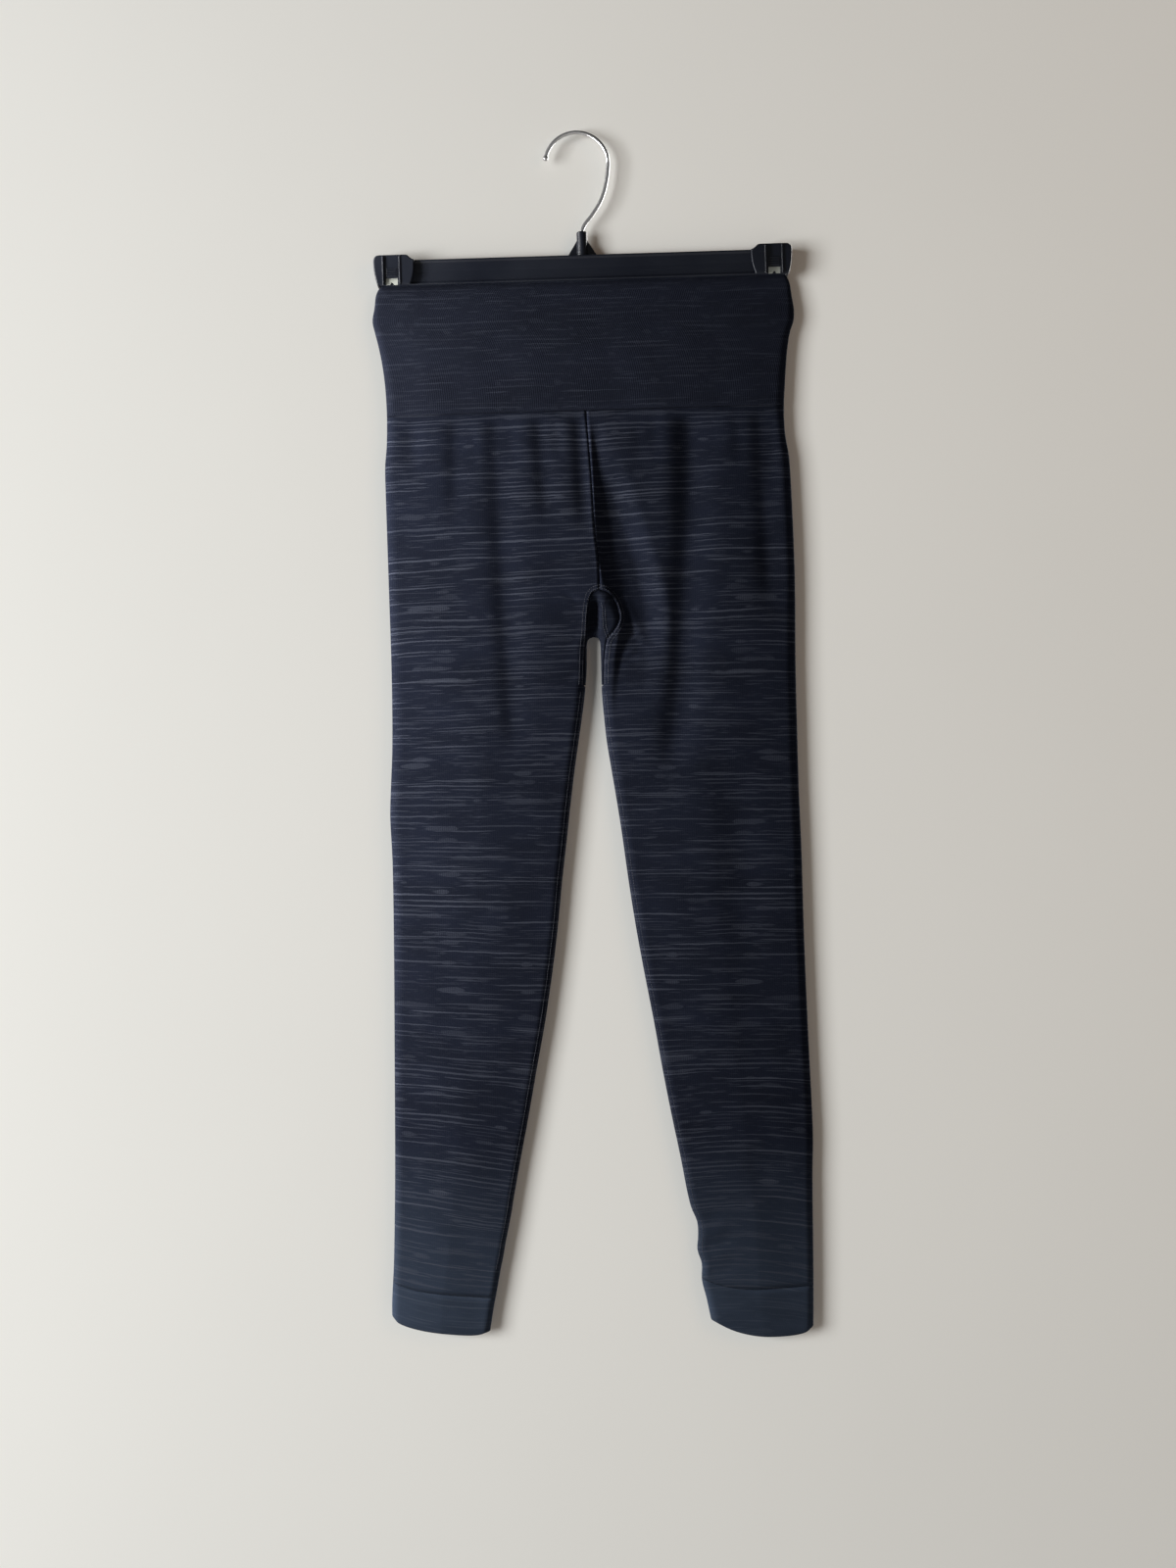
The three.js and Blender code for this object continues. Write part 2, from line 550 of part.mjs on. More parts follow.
// Rows run from the front outline down to the notch's edge and up to the back outline
function gusset() {
  const grid = [];
  for (const [name, layer] of [['front', -1], ['back', 1]]) {
    const outline = gussetOutline(name);
    const notch = notchFacing(outline);
    const rows = [];
    for (let k = 0; k < GUSSET_STEPS; k += 1) {
      const share = Math.sin((k * Math.PI) / 2 / GUSSET_STEPS);
      rows.push(outline.map(([x, z], c) => {
        const px = mix(x, notch[c][0], share);
        const pz = mix(z, notch[c][1], share);
        return clothPoint(px, pz, layer, WALL.gusset, layer < 0 ? gussetDent(px, pz) * ease(share * 4) : 0);
      }));
    }
    if (layer < 0) grid.push(...rows);
    else grid.push(...rows.reverse());
  }
  return wallMesh(grid, false);
}

// Joins and cuts of closed solids
function solid(geometry) {
  const bare = geometry.clone();
  bare.deleteAttribute('normal');
  bare.deleteAttribute('uv');
  const merged = mergeVertices(bare, 1e-4);
  return new wasm.Manifold(new wasm.Mesh({
    numProp: 3,
    vertProperties: merged.attributes.position.array,
    triVerts: new Uint32Array(merged.index.array),
  }));
}

function geometryOf(manifold) {
  const mesh = manifold.getMesh();
  const geometry = new THREE.BufferGeometry();
  geometry.setAttribute('position', new THREE.Float32BufferAttribute(mesh.vertProperties, 3));
  geometry.setIndex([...mesh.triVerts]);
  return geometry;
}

function box(low, high) {
  const size = high.map((v, k) => v - low[k]);
  const geometry = new THREE.BoxGeometry(...size);
  return geometry.translate(...low.map((v, k) => v + size[k] / 2));
}

// A side outline in Y and Z, drawn out along X
function alongX(points, fromX, toX) {
  const shape = new THREE.Shape(points.map(([y, z]) => new THREE.Vector2(y, z)));
  const geometry = new THREE.ExtrudeGeometry(shape, { depth: toX - fromX, bevelEnabled: false });
  const turn = new THREE.Matrix4().makeBasis(
    new THREE.Vector3(0, 1, 0), new THREE.Vector3(0, 0, 1), new THREE.Vector3(1, 0, 0),
  );
  return geometry.applyMatrix4(turn).translate(fromX, 0, 0);
}

// A front outline in X and Z, drawn out along Y between two depths, with softened edges
function alongY(shape, fromY, toY, bevel = 0) {
  const geometry = new THREE.ExtrudeGeometry(shape, {
    depth: toY - fromY - 2 * bevel,
    bevelEnabled: bevel > 0,
    bevelSize: bevel,
    bevelThickness: bevel,
    bevelOffset: -bevel,
    bevelSegments: 2,
    curveSegments: 5,
  });
  const turn = new THREE.Matrix4().makeBasis(
    new THREE.Vector3(1, 0, 0), new THREE.Vector3(0, 0, 1), new THREE.Vector3(0, -1, 0),
  );
  return geometry.applyMatrix4(turn).translate(0, toY - bevel, 0);
}

// Outline of a jaw's cross-section: a flat gripping face and a slightly hollow outer face
function jawOutline(side) {
  const { top, bottom, inside, outside, hollow } = BAR;
  const middle = (top + bottom) / 2;
  const points = [
    [inside, top], [outside - 0.5, top], [outside, top - 0.6], [outside, top - BAR_RIM],
    [outside - hollow, top - BAR_RIM - 1.3], [outside - hollow * 1.35, middle],
    [outside - hollow, bottom + BAR_RIM + 1.3], [outside, bottom + BAR_RIM],
    [outside, bottom + 0.6], [outside - 0.5, bottom], [inside, bottom],
  ];
  return points.map(([y, z]) => [y * side, z]);
}

function bar(side) {
  return alongX(jawOutline(side), HANGER_CENTRE - BAR.half, HANGER_CENTRE + BAR.half);
}

function neckBoss() {
  const { radius, top, boreRadius, boreBottom } = NECK;
  const foot = BAR.top + 0.4;
  const profile = [
    [0, foot], [radius, foot], [radius, top - 0.8], [radius - 0.8, top],
    [boreRadius, top], [boreRadius, boreBottom], [0, boreBottom],
  ];
  const geometry = new THREE.LatheGeometry(profile.map(([r, z]) => new THREE.Vector2(r, z)), 20);
  return geometry.rotateX(Math.PI / 2).translate(HANGER_CENTRE, 0, 0);
}

function webOutline() {
  const shape = new THREE.Shape();
  const half = NECK.radius - 0.3;
  shape.moveTo(HANGER_CENTRE - NECK.webFoot, WEB.foot);
  shape.lineTo(HANGER_CENTRE + NECK.webFoot, WEB.foot);
  shape.lineTo(HANGER_CENTRE + half, NECK.webTop);
  shape.lineTo(HANGER_CENTRE - half, NECK.webTop);
  return shape;
}

// The back jaw carries the neck on a ledge over the front jaw's inner side
function backBar() {
  const ledge = box(
    [HANGER_CENTRE - LEDGE.half, WEB.from, BAR.top - LEDGE.thick],
    [HANGER_CENTRE + LEDGE.half, BAR.inside + 1, BAR.top],
  );
  const web = solid(alongY(webOutline(), WEB.from, WEB.to));
  const bore = solid(new THREE.CylinderGeometry(NECK.boreRadius, NECK.boreRadius, 40, 20)
    .rotateX(Math.PI / 2).translate(HANGER_CENTRE, 0, NECK.boreBottom + 20));
  return geometryOf(solid(bar(1)).add(solid(ledge)).add(web).add(solid(neckBoss())).subtract(bore));
}

// Front outline of an end housing, from the hanger's middle outward
function clipOutline(sign) {
  const at = (u, z) => [HANGER_CENTRE + sign * u, z];
  const shape = new THREE.Shape();
  shape.moveTo(...at(CLIP.inner, CLIP.bottom));
  for (const { bendU, bendZ, u, z } of CLIP_OUTLINE) {
    if (bendU) shape.quadraticCurveTo(...at(bendU, bendZ), ...at(u, z));
    else shape.lineTo(...at(u, z));
  }
  return shape;
}

// An end housing: a cap over both jaws, with a channel and two ribs on each face
function clip(sign) {
  const span = (from, to) => [from, to].map((u) => HANGER_CENTRE + sign * u).sort((a, b) => a - b);
  const across = (u0, u1, y0, y1, z0, z1) => {
    const [x0, x1] = span(u0, u1);
    return solid(box([x0, y0, z0], [x1, y1, z1]));
  };
  const below = CLIP.bottom - 5;
  let housing = solid(alongY(clipOutline(sign), -CLIP.depth, CLIP.depth, CLIP.bevel));
  housing = housing.subtract(across(130, CLIP.slotEnd, -CLIP.slotSide, CLIP.slotSide, below, CLIP.slotTop));
  for (const side of [-1, 1]) {
    const face = CLIP.depth * side;
    const depths = (from, to) => [from, to].sort((a, b) => a - b);
    const channel = depths(face - CLIP.channelDepth * side, face + 5 * side);
    housing = housing.subtract(across(CLIP.channelFrom, CLIP.channelTo, ...channel, below, CLIP.top + 5));
    const rib = depths(face - 1.2 * side, face + CLIP.ribHeight * side);
    for (const u of [CLIP.channelFrom - CLIP.ribWidth, CLIP.channelTo]) {
      housing = housing.add(across(u, u + CLIP.ribWidth, ...rib, CLIP.bottom, CLIP.top - 1));
    }
    const pad = depths(face - 1.2 * side, face - 0.2 * side);
    for (let k = 0; k < PRESS_LINES.count; k += 1) {
      const z = PRESS_LINES.top - PRESS_LINES.pitch * k;
      housing = housing.add(across(SPRING.from + 0.6, SPRING.to - 0.6, ...pad, z - PRESS_LINES.height, z));
    }
    const window = depths(CLIP.slotSide * side - side, face + 5 * side);
    housing = housing.subtract(across(SPRING.from - 0.3, SPRING.to + 0.3, ...window, below, WINDOW_TOP));
  }
  return geometryOf(housing);
}

// A bent steel strip over both jaws, notched at its two feet
function spring(sign) {
  const { side, thick, top, bottom } = SPRING;
  const right = [[side, bottom], [side, top - 0.8], [side - 0.8, top]];
  const inner = [[side - thick, bottom], [side - thick, top - thick]];
  const mirrored = (points) => points.map(([y, z]) => [-y, z]);
  const outline = [...mirrored(right), ...right.toReversed(), ...inner, ...mirrored(inner).toReversed()];
  const [fromX, toX] = [SPRING.from, SPRING.to].map((u) => HANGER_CENTRE + sign * u).sort((a, b) => a - b);
  const middle = (fromX + toX) / 2;
  const notch = new THREE.Shape();
  notch.moveTo(middle - 2.6, bottom - 1);
  notch.lineTo(middle + 2.6, bottom - 1);
  notch.lineTo(middle, bottom + SPRING.notch);
  return geometryOf(solid(alongX(outline, fromX, toX)).subtract(solid(alongY(notch, -12, 12))));
}

// The hook's centre line: a round top, then a long S down into the neck
class HookLine extends THREE.CurvePath {
  constructor() {
    super();
    const rise = HOOK.radius - HOOK.wire;
    const at = (x, z) => new THREE.Vector3(x, 0, z);
    const onCircle = (degrees) => {
      const a = THREE.MathUtils.degToRad(degrees);
      return at(HOOK.centreX + HOOK.radius * Math.cos(a), -rise + HOOK.radius * Math.sin(a));
    };
    const steps = 16;
    const round = [];
    for (let k = 0; k <= steps; k += 1) round.push(onCircle(mix(HOOK.tipAngle, HOOK.sideAngle, k / steps)));
    const neck = HOOK_NECK.map(({ x, z }) => at(x, z));
    this.add(new THREE.CatmullRomCurve3([...round, ...neck], false, 'centripetal'));
  }
}

function hook() {
  const circle = new THREE.Shape();
  circle.absarc(0, 0, HOOK.wire, 0, Math.PI * 2);
  const path = new HookLine();
  const wire = new THREE.ExtrudeGeometry(circle, { extrudePath: path, steps: 40, curveSegments: 5 });
  const tip = path.getPoint(0);
  const ball = new THREE.SphereGeometry(HOOK.ball, 12, 8).translate(tip.x, tip.y, tip.z);
  return geometryOf(solid(wire).add(solid(ball)));
}

function piece(name, geometry, look) {
  const mesh = new THREE.Mesh(geometry, new THREE.MeshStandardMaterial(MATERIALS[look]));
  mesh.name = name;
  geometry.computeVertexNormals();
  return mesh;
}

const group = new THREE.Group();
group.add(
  piece('waistband', waistband(), 'band'),
  piece('right_leg', legPanel('right'), 'knit'),
  piece('left_leg', legPanel('left'), 'knit'),
  piece('gusset', gusset(), 'knit'),
  piece('right_cuff', cuff('right'), 'cuff'),
  piece('left_cuff', cuff('left'), 'cuff'),
  piece('hanger_front_bar', bar(-1), 'plastic'),
  piece('hanger_back_bar', backBar(), 'plastic'),
  piece('right_clip', clip(-1), 'plastic'),
  piece('left_clip', clip(1), 'plastic'),
  piece('right_spring', spring(-1), 'steel'),
  piece('left_spring', spring(1), 'steel'),
  piece('hanger_hook', hook(), 'chrome'),
);

export default group;
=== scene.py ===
import json
import math

import bmesh
import bpy
import numpy as np
from mathutils import Matrix, Vector

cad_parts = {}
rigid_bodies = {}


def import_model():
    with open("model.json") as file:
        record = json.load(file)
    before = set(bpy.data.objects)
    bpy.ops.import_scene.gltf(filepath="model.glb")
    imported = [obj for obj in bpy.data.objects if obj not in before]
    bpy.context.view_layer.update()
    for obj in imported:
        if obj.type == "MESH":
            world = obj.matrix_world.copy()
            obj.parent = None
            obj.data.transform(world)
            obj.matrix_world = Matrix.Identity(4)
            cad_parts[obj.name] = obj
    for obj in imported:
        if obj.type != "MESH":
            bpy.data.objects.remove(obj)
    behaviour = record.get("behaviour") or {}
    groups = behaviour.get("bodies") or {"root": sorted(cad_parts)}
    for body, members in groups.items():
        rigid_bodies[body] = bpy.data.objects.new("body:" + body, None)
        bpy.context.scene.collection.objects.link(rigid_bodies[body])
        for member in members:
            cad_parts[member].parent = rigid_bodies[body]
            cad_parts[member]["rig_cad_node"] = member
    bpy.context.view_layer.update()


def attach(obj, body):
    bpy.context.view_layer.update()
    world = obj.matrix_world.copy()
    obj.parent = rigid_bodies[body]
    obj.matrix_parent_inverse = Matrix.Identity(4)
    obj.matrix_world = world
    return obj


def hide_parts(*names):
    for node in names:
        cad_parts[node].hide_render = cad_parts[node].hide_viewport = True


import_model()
scene = bpy.context.scene

# Lengths are in millimetres, and each mesh is turned into metres as it is made.
# Right and left are the wearer's, so the right leg lies at negative X.
MM = 0.001
SEAM_GAP = 0.3
WALL = {"band": 1.5, "leg": 1.2, "gusset": 1.3, "cuff": 1.8}
BAND_TOP = -112
WAIST_SEAM = -237.6
CROTCH_X, CROTCH_Z = 0.2, -431
GUSSET_TOP, GUSSET_END = -391, -472
INSEAM_START = -473.5
HANG_STARTS = -860
# A height within both cuffs, from which their slanting rows are found
CUFFS_ABOUT = -1000.0
HEM_LOWEST = -1036
SEAM_STRIP = 6
# Steps across a leg panel: front strip, front, side, back and back strip, with the front's
# steps a little closer near its seam
PANEL_STEPS = (10, 66, 8, 46, 6)
CROWDING = 1.1
# How much thinner the cloth lies near its outline, as a share of its depth
CROWN = {"depth": 0.34, "reach": 42}
FOLD_FADE = 46
# Seams in relief: the depth and width of the dip, then the height of the soft roll beside it,
# how far away the roll lies and its width
SEAM_RELIEF = {
    "band": (0.75, 1.3, 0.45, 4.5, 2.6),
    "waist": (0.8, 1.5, 0.4, 4.5, 2.4),
    "centre": (0.7, 0.8, 0.12, 2.2, 1.2),
    "gusset": (0.7, 1.6, 0.35, 4, 2),
    "ankle": (0.7, 1.5, 0.3, 4, 2),
    "cuff": (0.8, 1.1, 0.35, 3.2, 2),
}
HEM_DIP = {"depth": 0.25, "width": 2.2}
CUFF_HEIGHT = 32
ANKLE_HEIGHT = 130


def table(names, *rows):
    """A short table, as one array of numbers for each named column."""
    return dict(zip(names.split(), np.array(rows, float).T))


# Outer edges of the hanging cloth, and the half depth and rounding of the flattened tube
SIDES = table(
    "z right left half round",
    (-112, -172.6, 173.6, 1.8, 3), (-126.4, -172.9, 174, 1.8, 3), (-128.2, -175.2, 175.4, 2, 3.2),
    (-134, -177.6, 177.3, 2.7, 4), (-144, -179, 178.6, 3.9, 5), (-155, -181, 180.1, 5.2, 6),
    (-165, -179.2, 179.6, 5.8, 6.6), (-176, -176.7, 176, 6.1, 7.1), (-190, -174.2, 173.4, 6.4, 7.6),
    (-206, -172.3, 171.7, 6.7, 8), (-222, -171.4, 170.3, 6.9, 8.3), (-240, -171.2, 169, 7.1, 8.5),
    (-262, -172.1, 169.4, 7.4, 8.8), (-280, -174, 172, 7.7, 9), (-300, -174.2, 173, 7.9, 9),
    (-380, -174, 174, 8.2, 9), (-460, -173.9, 172.3, 8.2, 9), (-520, -175.2, 171.9, 8.1, 9),
    (-560, -177.8, 171.8, 8, 8.8), (-580, -178.8, 172, 8, 8.7), (-620, -178, 172.5, 7.9, 8.6),
    (-700, -179.2, 172.5, 7.6, 8.3), (-780, -181.2, 173.5, 7.2, 7.8), (-860, -183.2, 174.9, 6.7, 7.2),
    (-900, -184.5, 173.3, 6.5, 6.9), (-960, -187.2, 172.1, 6.3, 6.6), (-1000, -190, 171.1, 6.2, 6.5),
    (-1036, -189.4, 169.8, 6.2, 6.5),
)

# Inner edges of the two legs, from the crotch down to the hems
INNER_EDGES = table(
    "z right left",
    (-431, 0.2, 0.2), (-431.6, -2.4, 2.8), (-433.2, -4.4, 4.7), (-437, -5.6, 5.6), (-444, -6, 5.8),
    (-460, -6.7, 5.7), (-480, -8.9, 5.7), (-500, -12, 6.9), (-520, -15.4, 8.5), (-540, -18.9, 11.2),
    (-560, -22, 14), (-580, -24.9, 16.7), (-600, -27.6, 19.2), (-640, -33.3, 23.6),
    (-680, -38.3, 28.7), (-720, -44.5, 34.8), (-760, -51.6, 41.4), (-800, -60, 47.4),
    (-840, -68.2, 54), (-880, -76.9, 61.2), (-908, -82.7, 65.7), (-922, -85.4, 68.8),
    (-934, -88, 73.4), (-946, -90.8, 73.9), (-958, -93.2, 72.9), (-970, -96.1, 76.3),
    (-984, -98.9, 76), (-1000, -102.4, 79.5), (-1018, -105.8, 82.8), (-1036, -108.5, 86),
)

# Centre seams above the gusset, and the outline of the lens-shaped gusset
CENTRE_SEAMS = table(
    "z front back",
    (-237, -0.7, -1), (-289, 2.1, -0.6), (-340, 3.9, 0.2), (-368, 6.2, 1), (-391, 6.2, 1.6),
)
GUSSET_ROWS = table(
    "z frontRight frontLeft backRight backLeft",
    (-391, 6.2, 6.2, 1.6, 1.6), (-393, 1, 12.2, -3.6, 6.8), (-396, -1.2, 15.8, -7, 10.2),
    (-400, -2.7, 18.6, -9.4, 12.7), (-407, -4, 21.3, -11.3, 14.7), (-416, -5, 22.6, -12.4, 15.8),
    (-425, -5.7, 18.6, -12.9, 16), (-433, -6.6, 11.8, -12.9, 15.4), (-440, -7.6, 9.9, -12.5, 14.2),
    (-447, -8.2, 8.8, -11.9, 12.4), (-455, -8.7, 8, -11.2, 10.4), (-464, -9.2, 7.5, -10.5, 8.6),
    (-472, -9.8, 7.2, -10.1, 7.2),
)

# Cuff seam and hem heights across each ankle, from the outer side (0) to the inner side (1)
ANKLES = {
    "right": table(
        "across seam hem",
        (0, -977, -1006), (0.07, -980.4, -1012.2), (0.28, -986, -1018.4),
        (0.57, -989.8, -1022.4), (0.86, -992.6, -1024.2), (1, -993.8, -1021.5),
    ),
    "left": table(
        "across seam hem",
        (0, -991.2, -1025.6), (0.09, -991.5, -1030.6), (0.3, -992.2, -1032.9),
        (0.57, -992.6, -1032), (0.8, -989.4, -1026.9), (1, -982.6, -1017.5),
    ),
}

# Large folds: a depth above 0 sinks in, one below 0 stands out.
# A lean above 0 makes the fold's left flank in the front view steeper than its right one.
FOLD_NAMES = "topX endX bow top end width lean depth"
FOLDS = {
    "front": table(
        FOLD_NAMES,
        (-149, -150, 0, -238, -294, 9, 0, 1), (-112, -116, 0, -238, -345, 10, 0.2, 1.8),
        (-77, -69, -2, -238, -540, 12, 0.2, 2), (-41, -36, 0, -238, -345, 9, 0.2, 1.7),
        (-7, -4, 0, -238, -352, 7, 0, 1.7),
        (56, 57, 0, -238, -294, 9, 0, 1),
        (88, 62, 5, -238, -560, 15, 0.1, 3.7), (106, 107, 0, -238, -294, 9, 0, 0.8),
        (149, 152, 0, -238, -420, 11, 0.2, 2), (118, 126, 0, -520, -820, 20, 0, 1.2),
    ),
    "back": table(
        FOLD_NAMES,
        (-128, -122, 0, -238, -330, 12, 0, 1.8), (-66, -58, 2, -238, -350, 12, -0.2, 2.3),
        (-24, -30, 0, -300, -452, 12, 0, 3.2), (26, 34, 0, -290, -446, 12, 0.2, 3.4),
        (70, 76, 2, -238, -400, 12, 0.2, 2.4), (124, 120, 0, -238, -340, 12, 0, 1.8),
        (-96, -112, -3, -420, -700, 22, 0, 1.4), (96, 110, 3, -440, -720, 22, 0, 1.4),
    ),
}
# The deep pocket right of the centre seam and the gusset. At each height it drops steeply on its
# left side, sinks a little more towards the right, and rises again in a gentler flank.
POCKET = table(
    "z from to depth",
    (-248, 1, 12, 0), (-285, 2.2, 23, 2.6), (-306, 3, 31, 4.8), (-339, 4, 40, 6.4), (-373, 7, 50, 6.8),
    (-390, 12, 54, 6.9), (-402, 20, 56, 6.9), (-416, 24, 57, 6.8), (-432, 21, 57, 5.8),
    (-450, 17, 56, 3.6), (-500, 12, 52, 0),
)
# The steep drop's share of the depth and its width, then the right flank's width and the share of
# it that lies beyond the table's right edge
POCKET_DROP = {"share": 0.7, "reach": 5}
POCKET_FLANK = {"width": 24, "beyond": 0.4}
# Folds fade in over this height below the waist seam
WAIST_FADE = 13
GUSSET_HOLLOW = {"x": -0.3, "z": -413, "half_width": 6.2, "half_height": 18, "depth": 6.4}

# Small creases between two points of the cloth, bowed to one side
CREASE_NAMES = "fromX fromZ toX toZ bow width depth"
CREASES = {
    "front": table(
        CREASE_NAMES,
        (-150, -239, -147, -300, 2, 7, 0.7), (-101, -239, -99, -292, -2, 5, 0.5),
        (-64, -239, -61, -300, 2, 6, 0.6), (-28, -239, -25, -290, -1, 5, 0.6),
        (8, -239, 12, -300, 1, 5, 0.8), (44, -239, 47, -296, 2, 6, 0.5),
        (128, -239, 126, -300, -2, 6, 0.5), (162, -240, 158, -320, 2, 7, 0.8),
        (14, -372, 46, -448, 6, 5, 1.5), (24, -384, 58, -458, 5, 4, -0.9),
        (29, -436, 40, -428, 1, 1.6, -0.9), (24, -447, 38, -441, 1, 1.5, -0.8),
        (22, -456, 36, -455, 1, 1.8, -0.7), (24, -452, 40, -448, 1, 1.6, 0.8),
        (-10, -404, -30, -392, 2, 3, 0.5), (-9, -430, -34, -440, -2, 3.5, 0.5),
        (-8, -452, -30, -470, -2, 4, 0.5), (70, -932, 100, -926, 2, 3.5, 0.7),
        (72, -941, 104, -938, 2, 3.5, -0.7), (73, -952, 108, -950, 2, 3.5, 0.8),
        (73, -964, 104, -962, 1, 3, -0.7), (76, -977, 110, -974, 1, 3, 0.7),
        (-150, -930, -104, -942, 2, 6, 0.5), (-172, -960, -120, -970, 2, 5, 0.4),
        (-130, -700, -90, -640, 4, 12, 0.6), (90, -640, 130, -700, -4, 12, 0.6),
        (112, -880, 150, -900, 3, 9, 0.5),
    ),
    "back": table(
        CREASE_NAMES,
        (-150, -239, -148, -296, 2, 7, 0.7), (-94, -239, -92, -290, -2, 6, 0.6),
        (-36, -239, -33, -300, 2, 6, 0.6), (20, -239, 18, -292, -1, 5, 0.6),
        (48, -239, 46, -300, 2, 6, 0.5), (98, -239, 96, -296, 2, 6, 0.6),
        (152, -239, 150, -310, -2, 7, 0.7), (-16, -404, -40, -392, 2, 4, 0.6),
        (18, -404, 42, -390, 2, 4, 0.6), (-14, -440, -40, -452, 2, 4, 0.6),
        (16, -440, 40, -454, -2, 4, 0.6), (78, -938, 110, -932, 2, 4, 0.6),
        (-104, -946, -140, -936, 2, 5, 0.5), (-130, -640, -90, -700, 4, 12, 0.6),
        (90, -700, 130, -640, 4, 12, 0.6),
    ),
}

# Slope of the knit courses across each leg, and how far they arch up in its middle
COURSES = {
    "right": table(
        "z slope arch",
        (-238, 0, 0), (-330, 0.015, 0), (-430, 0.02, 0), (-560, -0.02, 0), (-700, -0.06, 0),
        (-800, -0.11, 0), (-860, -0.15, 0), (-930, -0.185, -1.5), (-990, -0.19, -3.4),
        (-1036, -0.19, -3.4),
    ),
    "left": table(
        "z slope arch",
        (-238, 0, 0), (-330, 0.02, 1), (-430, -0.01, 1), (-560, -0.03, 0), (-700, -0.02, 1),
        (-860, -0.03, 3), (-930, -0.05, 3.5), (-990, -0.09, 4), (-1036, -0.09, 4),
    ),
}


def read(rows, column, at, key="z"):
    """The table's column at each height or share, along a smooth curve through its rows."""
    keys, values = rows[key], rows[column]
    at = np.asarray(at, float)
    if keys[-1] < keys[0]:
        keys, at = -keys, -at
    at = np.clip(at, keys[0], keys[-1])
    low = np.clip(np.searchsorted(keys, at, side="right") - 1, 0, len(keys) - 2)
    row = np.arange(len(keys))
    before, after = np.maximum(row - 1, 0), np.minimum(row + 1, len(keys) - 1)
    slopes = (values[after] - values[before]) / (keys[after] - keys[before])
    span = keys[low + 1] - keys[low]
    rise, leave, reach = curve((at - keys[low]) / span)
    bend = leave * span * slopes[low] + reach * span * slopes[low + 1]
    return values[low] * (1 - rise) + values[low + 1] * rise + bend


def curve(t):
    """Shares of a smooth span's end value, of its slope at the start and of its slope at the end."""
    return 3 * t**2 - 2 * t**3, t**3 - 2 * t**2 + t, t**3 - t**2


def mix(a, b, t):
    return a + (b - a) * t


def bell(off, width):
    """1 in the middle, falling softly to 0 over about two widths."""
    return np.exp(-((off / width) ** 2))


def unit(vectors):
    return vectors / np.linalg.norm(vectors, axis=1)[:, None]


def ease(t):
    s = np.clip(t, 0, 1)
    return s * s * (3 - 2 * s)


def notch_line():
    """The crotch notch as points, from the right hem over the crotch to the left hem."""
    fine, coarse = np.arange(CROTCH_Z, CROTCH_Z - 3, -0.25), np.arange(CROTCH_Z - 3, INSEAM_START, -1.0)
    heights = np.concatenate([fine, coarse, np.arange(INSEAM_START, HEM_LOWEST, -5.0)])
    right = np.stack([read(INNER_EDGES, "right", heights), heights], 1)[::-1]
    left = np.stack([read(INNER_EDGES, "left", heights), heights], 1)[1:]
    return np.concatenate([right, left])


NOTCH = notch_line()
# A point this near to the notch's line counts as lying on it
ON_LINE = 0.05


def away_from_notch(x, z):
    """Distance from each point of the front view to the notch, and the direction into the cloth.

    The cloth lies to the left all along the line, and the distance is below 0 to its right.
    """
    line = NOTCH
    start, run = line[:-1], np.diff(line, axis=0)
    length = np.hypot(*run.T)
    flat_x, flat_z = x.ravel(), z.ravel()
    found = np.empty((3, flat_x.size))
    chunk = 8000
    for first in range(0, flat_x.size, chunk):
        part = slice(first, first + chunk)
        dx = flat_x[part, None] - start[:, 0]
        dz = flat_z[part, None] - start[:, 1]
        t = np.clip((dx * run[:, 0] + dz * run[:, 1]) / length**2, 0, 1)
        dx -= t * run[:, 0]
        dz -= t * run[:, 1]
        far = np.hypot(dx, dz)
        near = far.argmin(1)
        dx, dz, far = (values[np.arange(len(near)), near] for values in (dx, dz, far))
        way = run[near] / length[near, None]
        side = np.where(dz * way[:, 0] - dx * way[:, 1] < 0, -1.0, 1.0)
        off = np.maximum(far, 1e-9)
        gx = np.where(far > ON_LINE, side * dx / off, -way[:, 1])
        gz = np.where(far > ON_LINE, side * dz / off, way[:, 0])
        found[:, part] = side * far, gx, gz
    return found.reshape(3, *x.shape)


def inside_outline(x, z):
    """How far each point lies inside the cloth's outline, and the direction in from it."""
    from_right = x - read(SIDES, "right", z)
    from_left = read(SIDES, "left", z) - x
    d = np.minimum(from_right, from_left)
    gx = np.where(from_right < from_left, 1.0, -1.0)
    gz = np.zeros_like(d)
    low = z < CROTCH_Z + 30
    if low.any():
        notch, nx, nz = away_from_notch(x[low], z[low])
        nearer = notch < d[low]
        d[low] = np.where(nearer, notch, d[low])
        gx[low] = np.where(nearer, nx, gx[low])
        gz[low] = np.where(nearer, nz, gz[low])
    return d, gx, gz


def rows_of(columns):
    names = list(columns)
    for values in zip(*columns.values()):
        yield dict(zip(names, values))


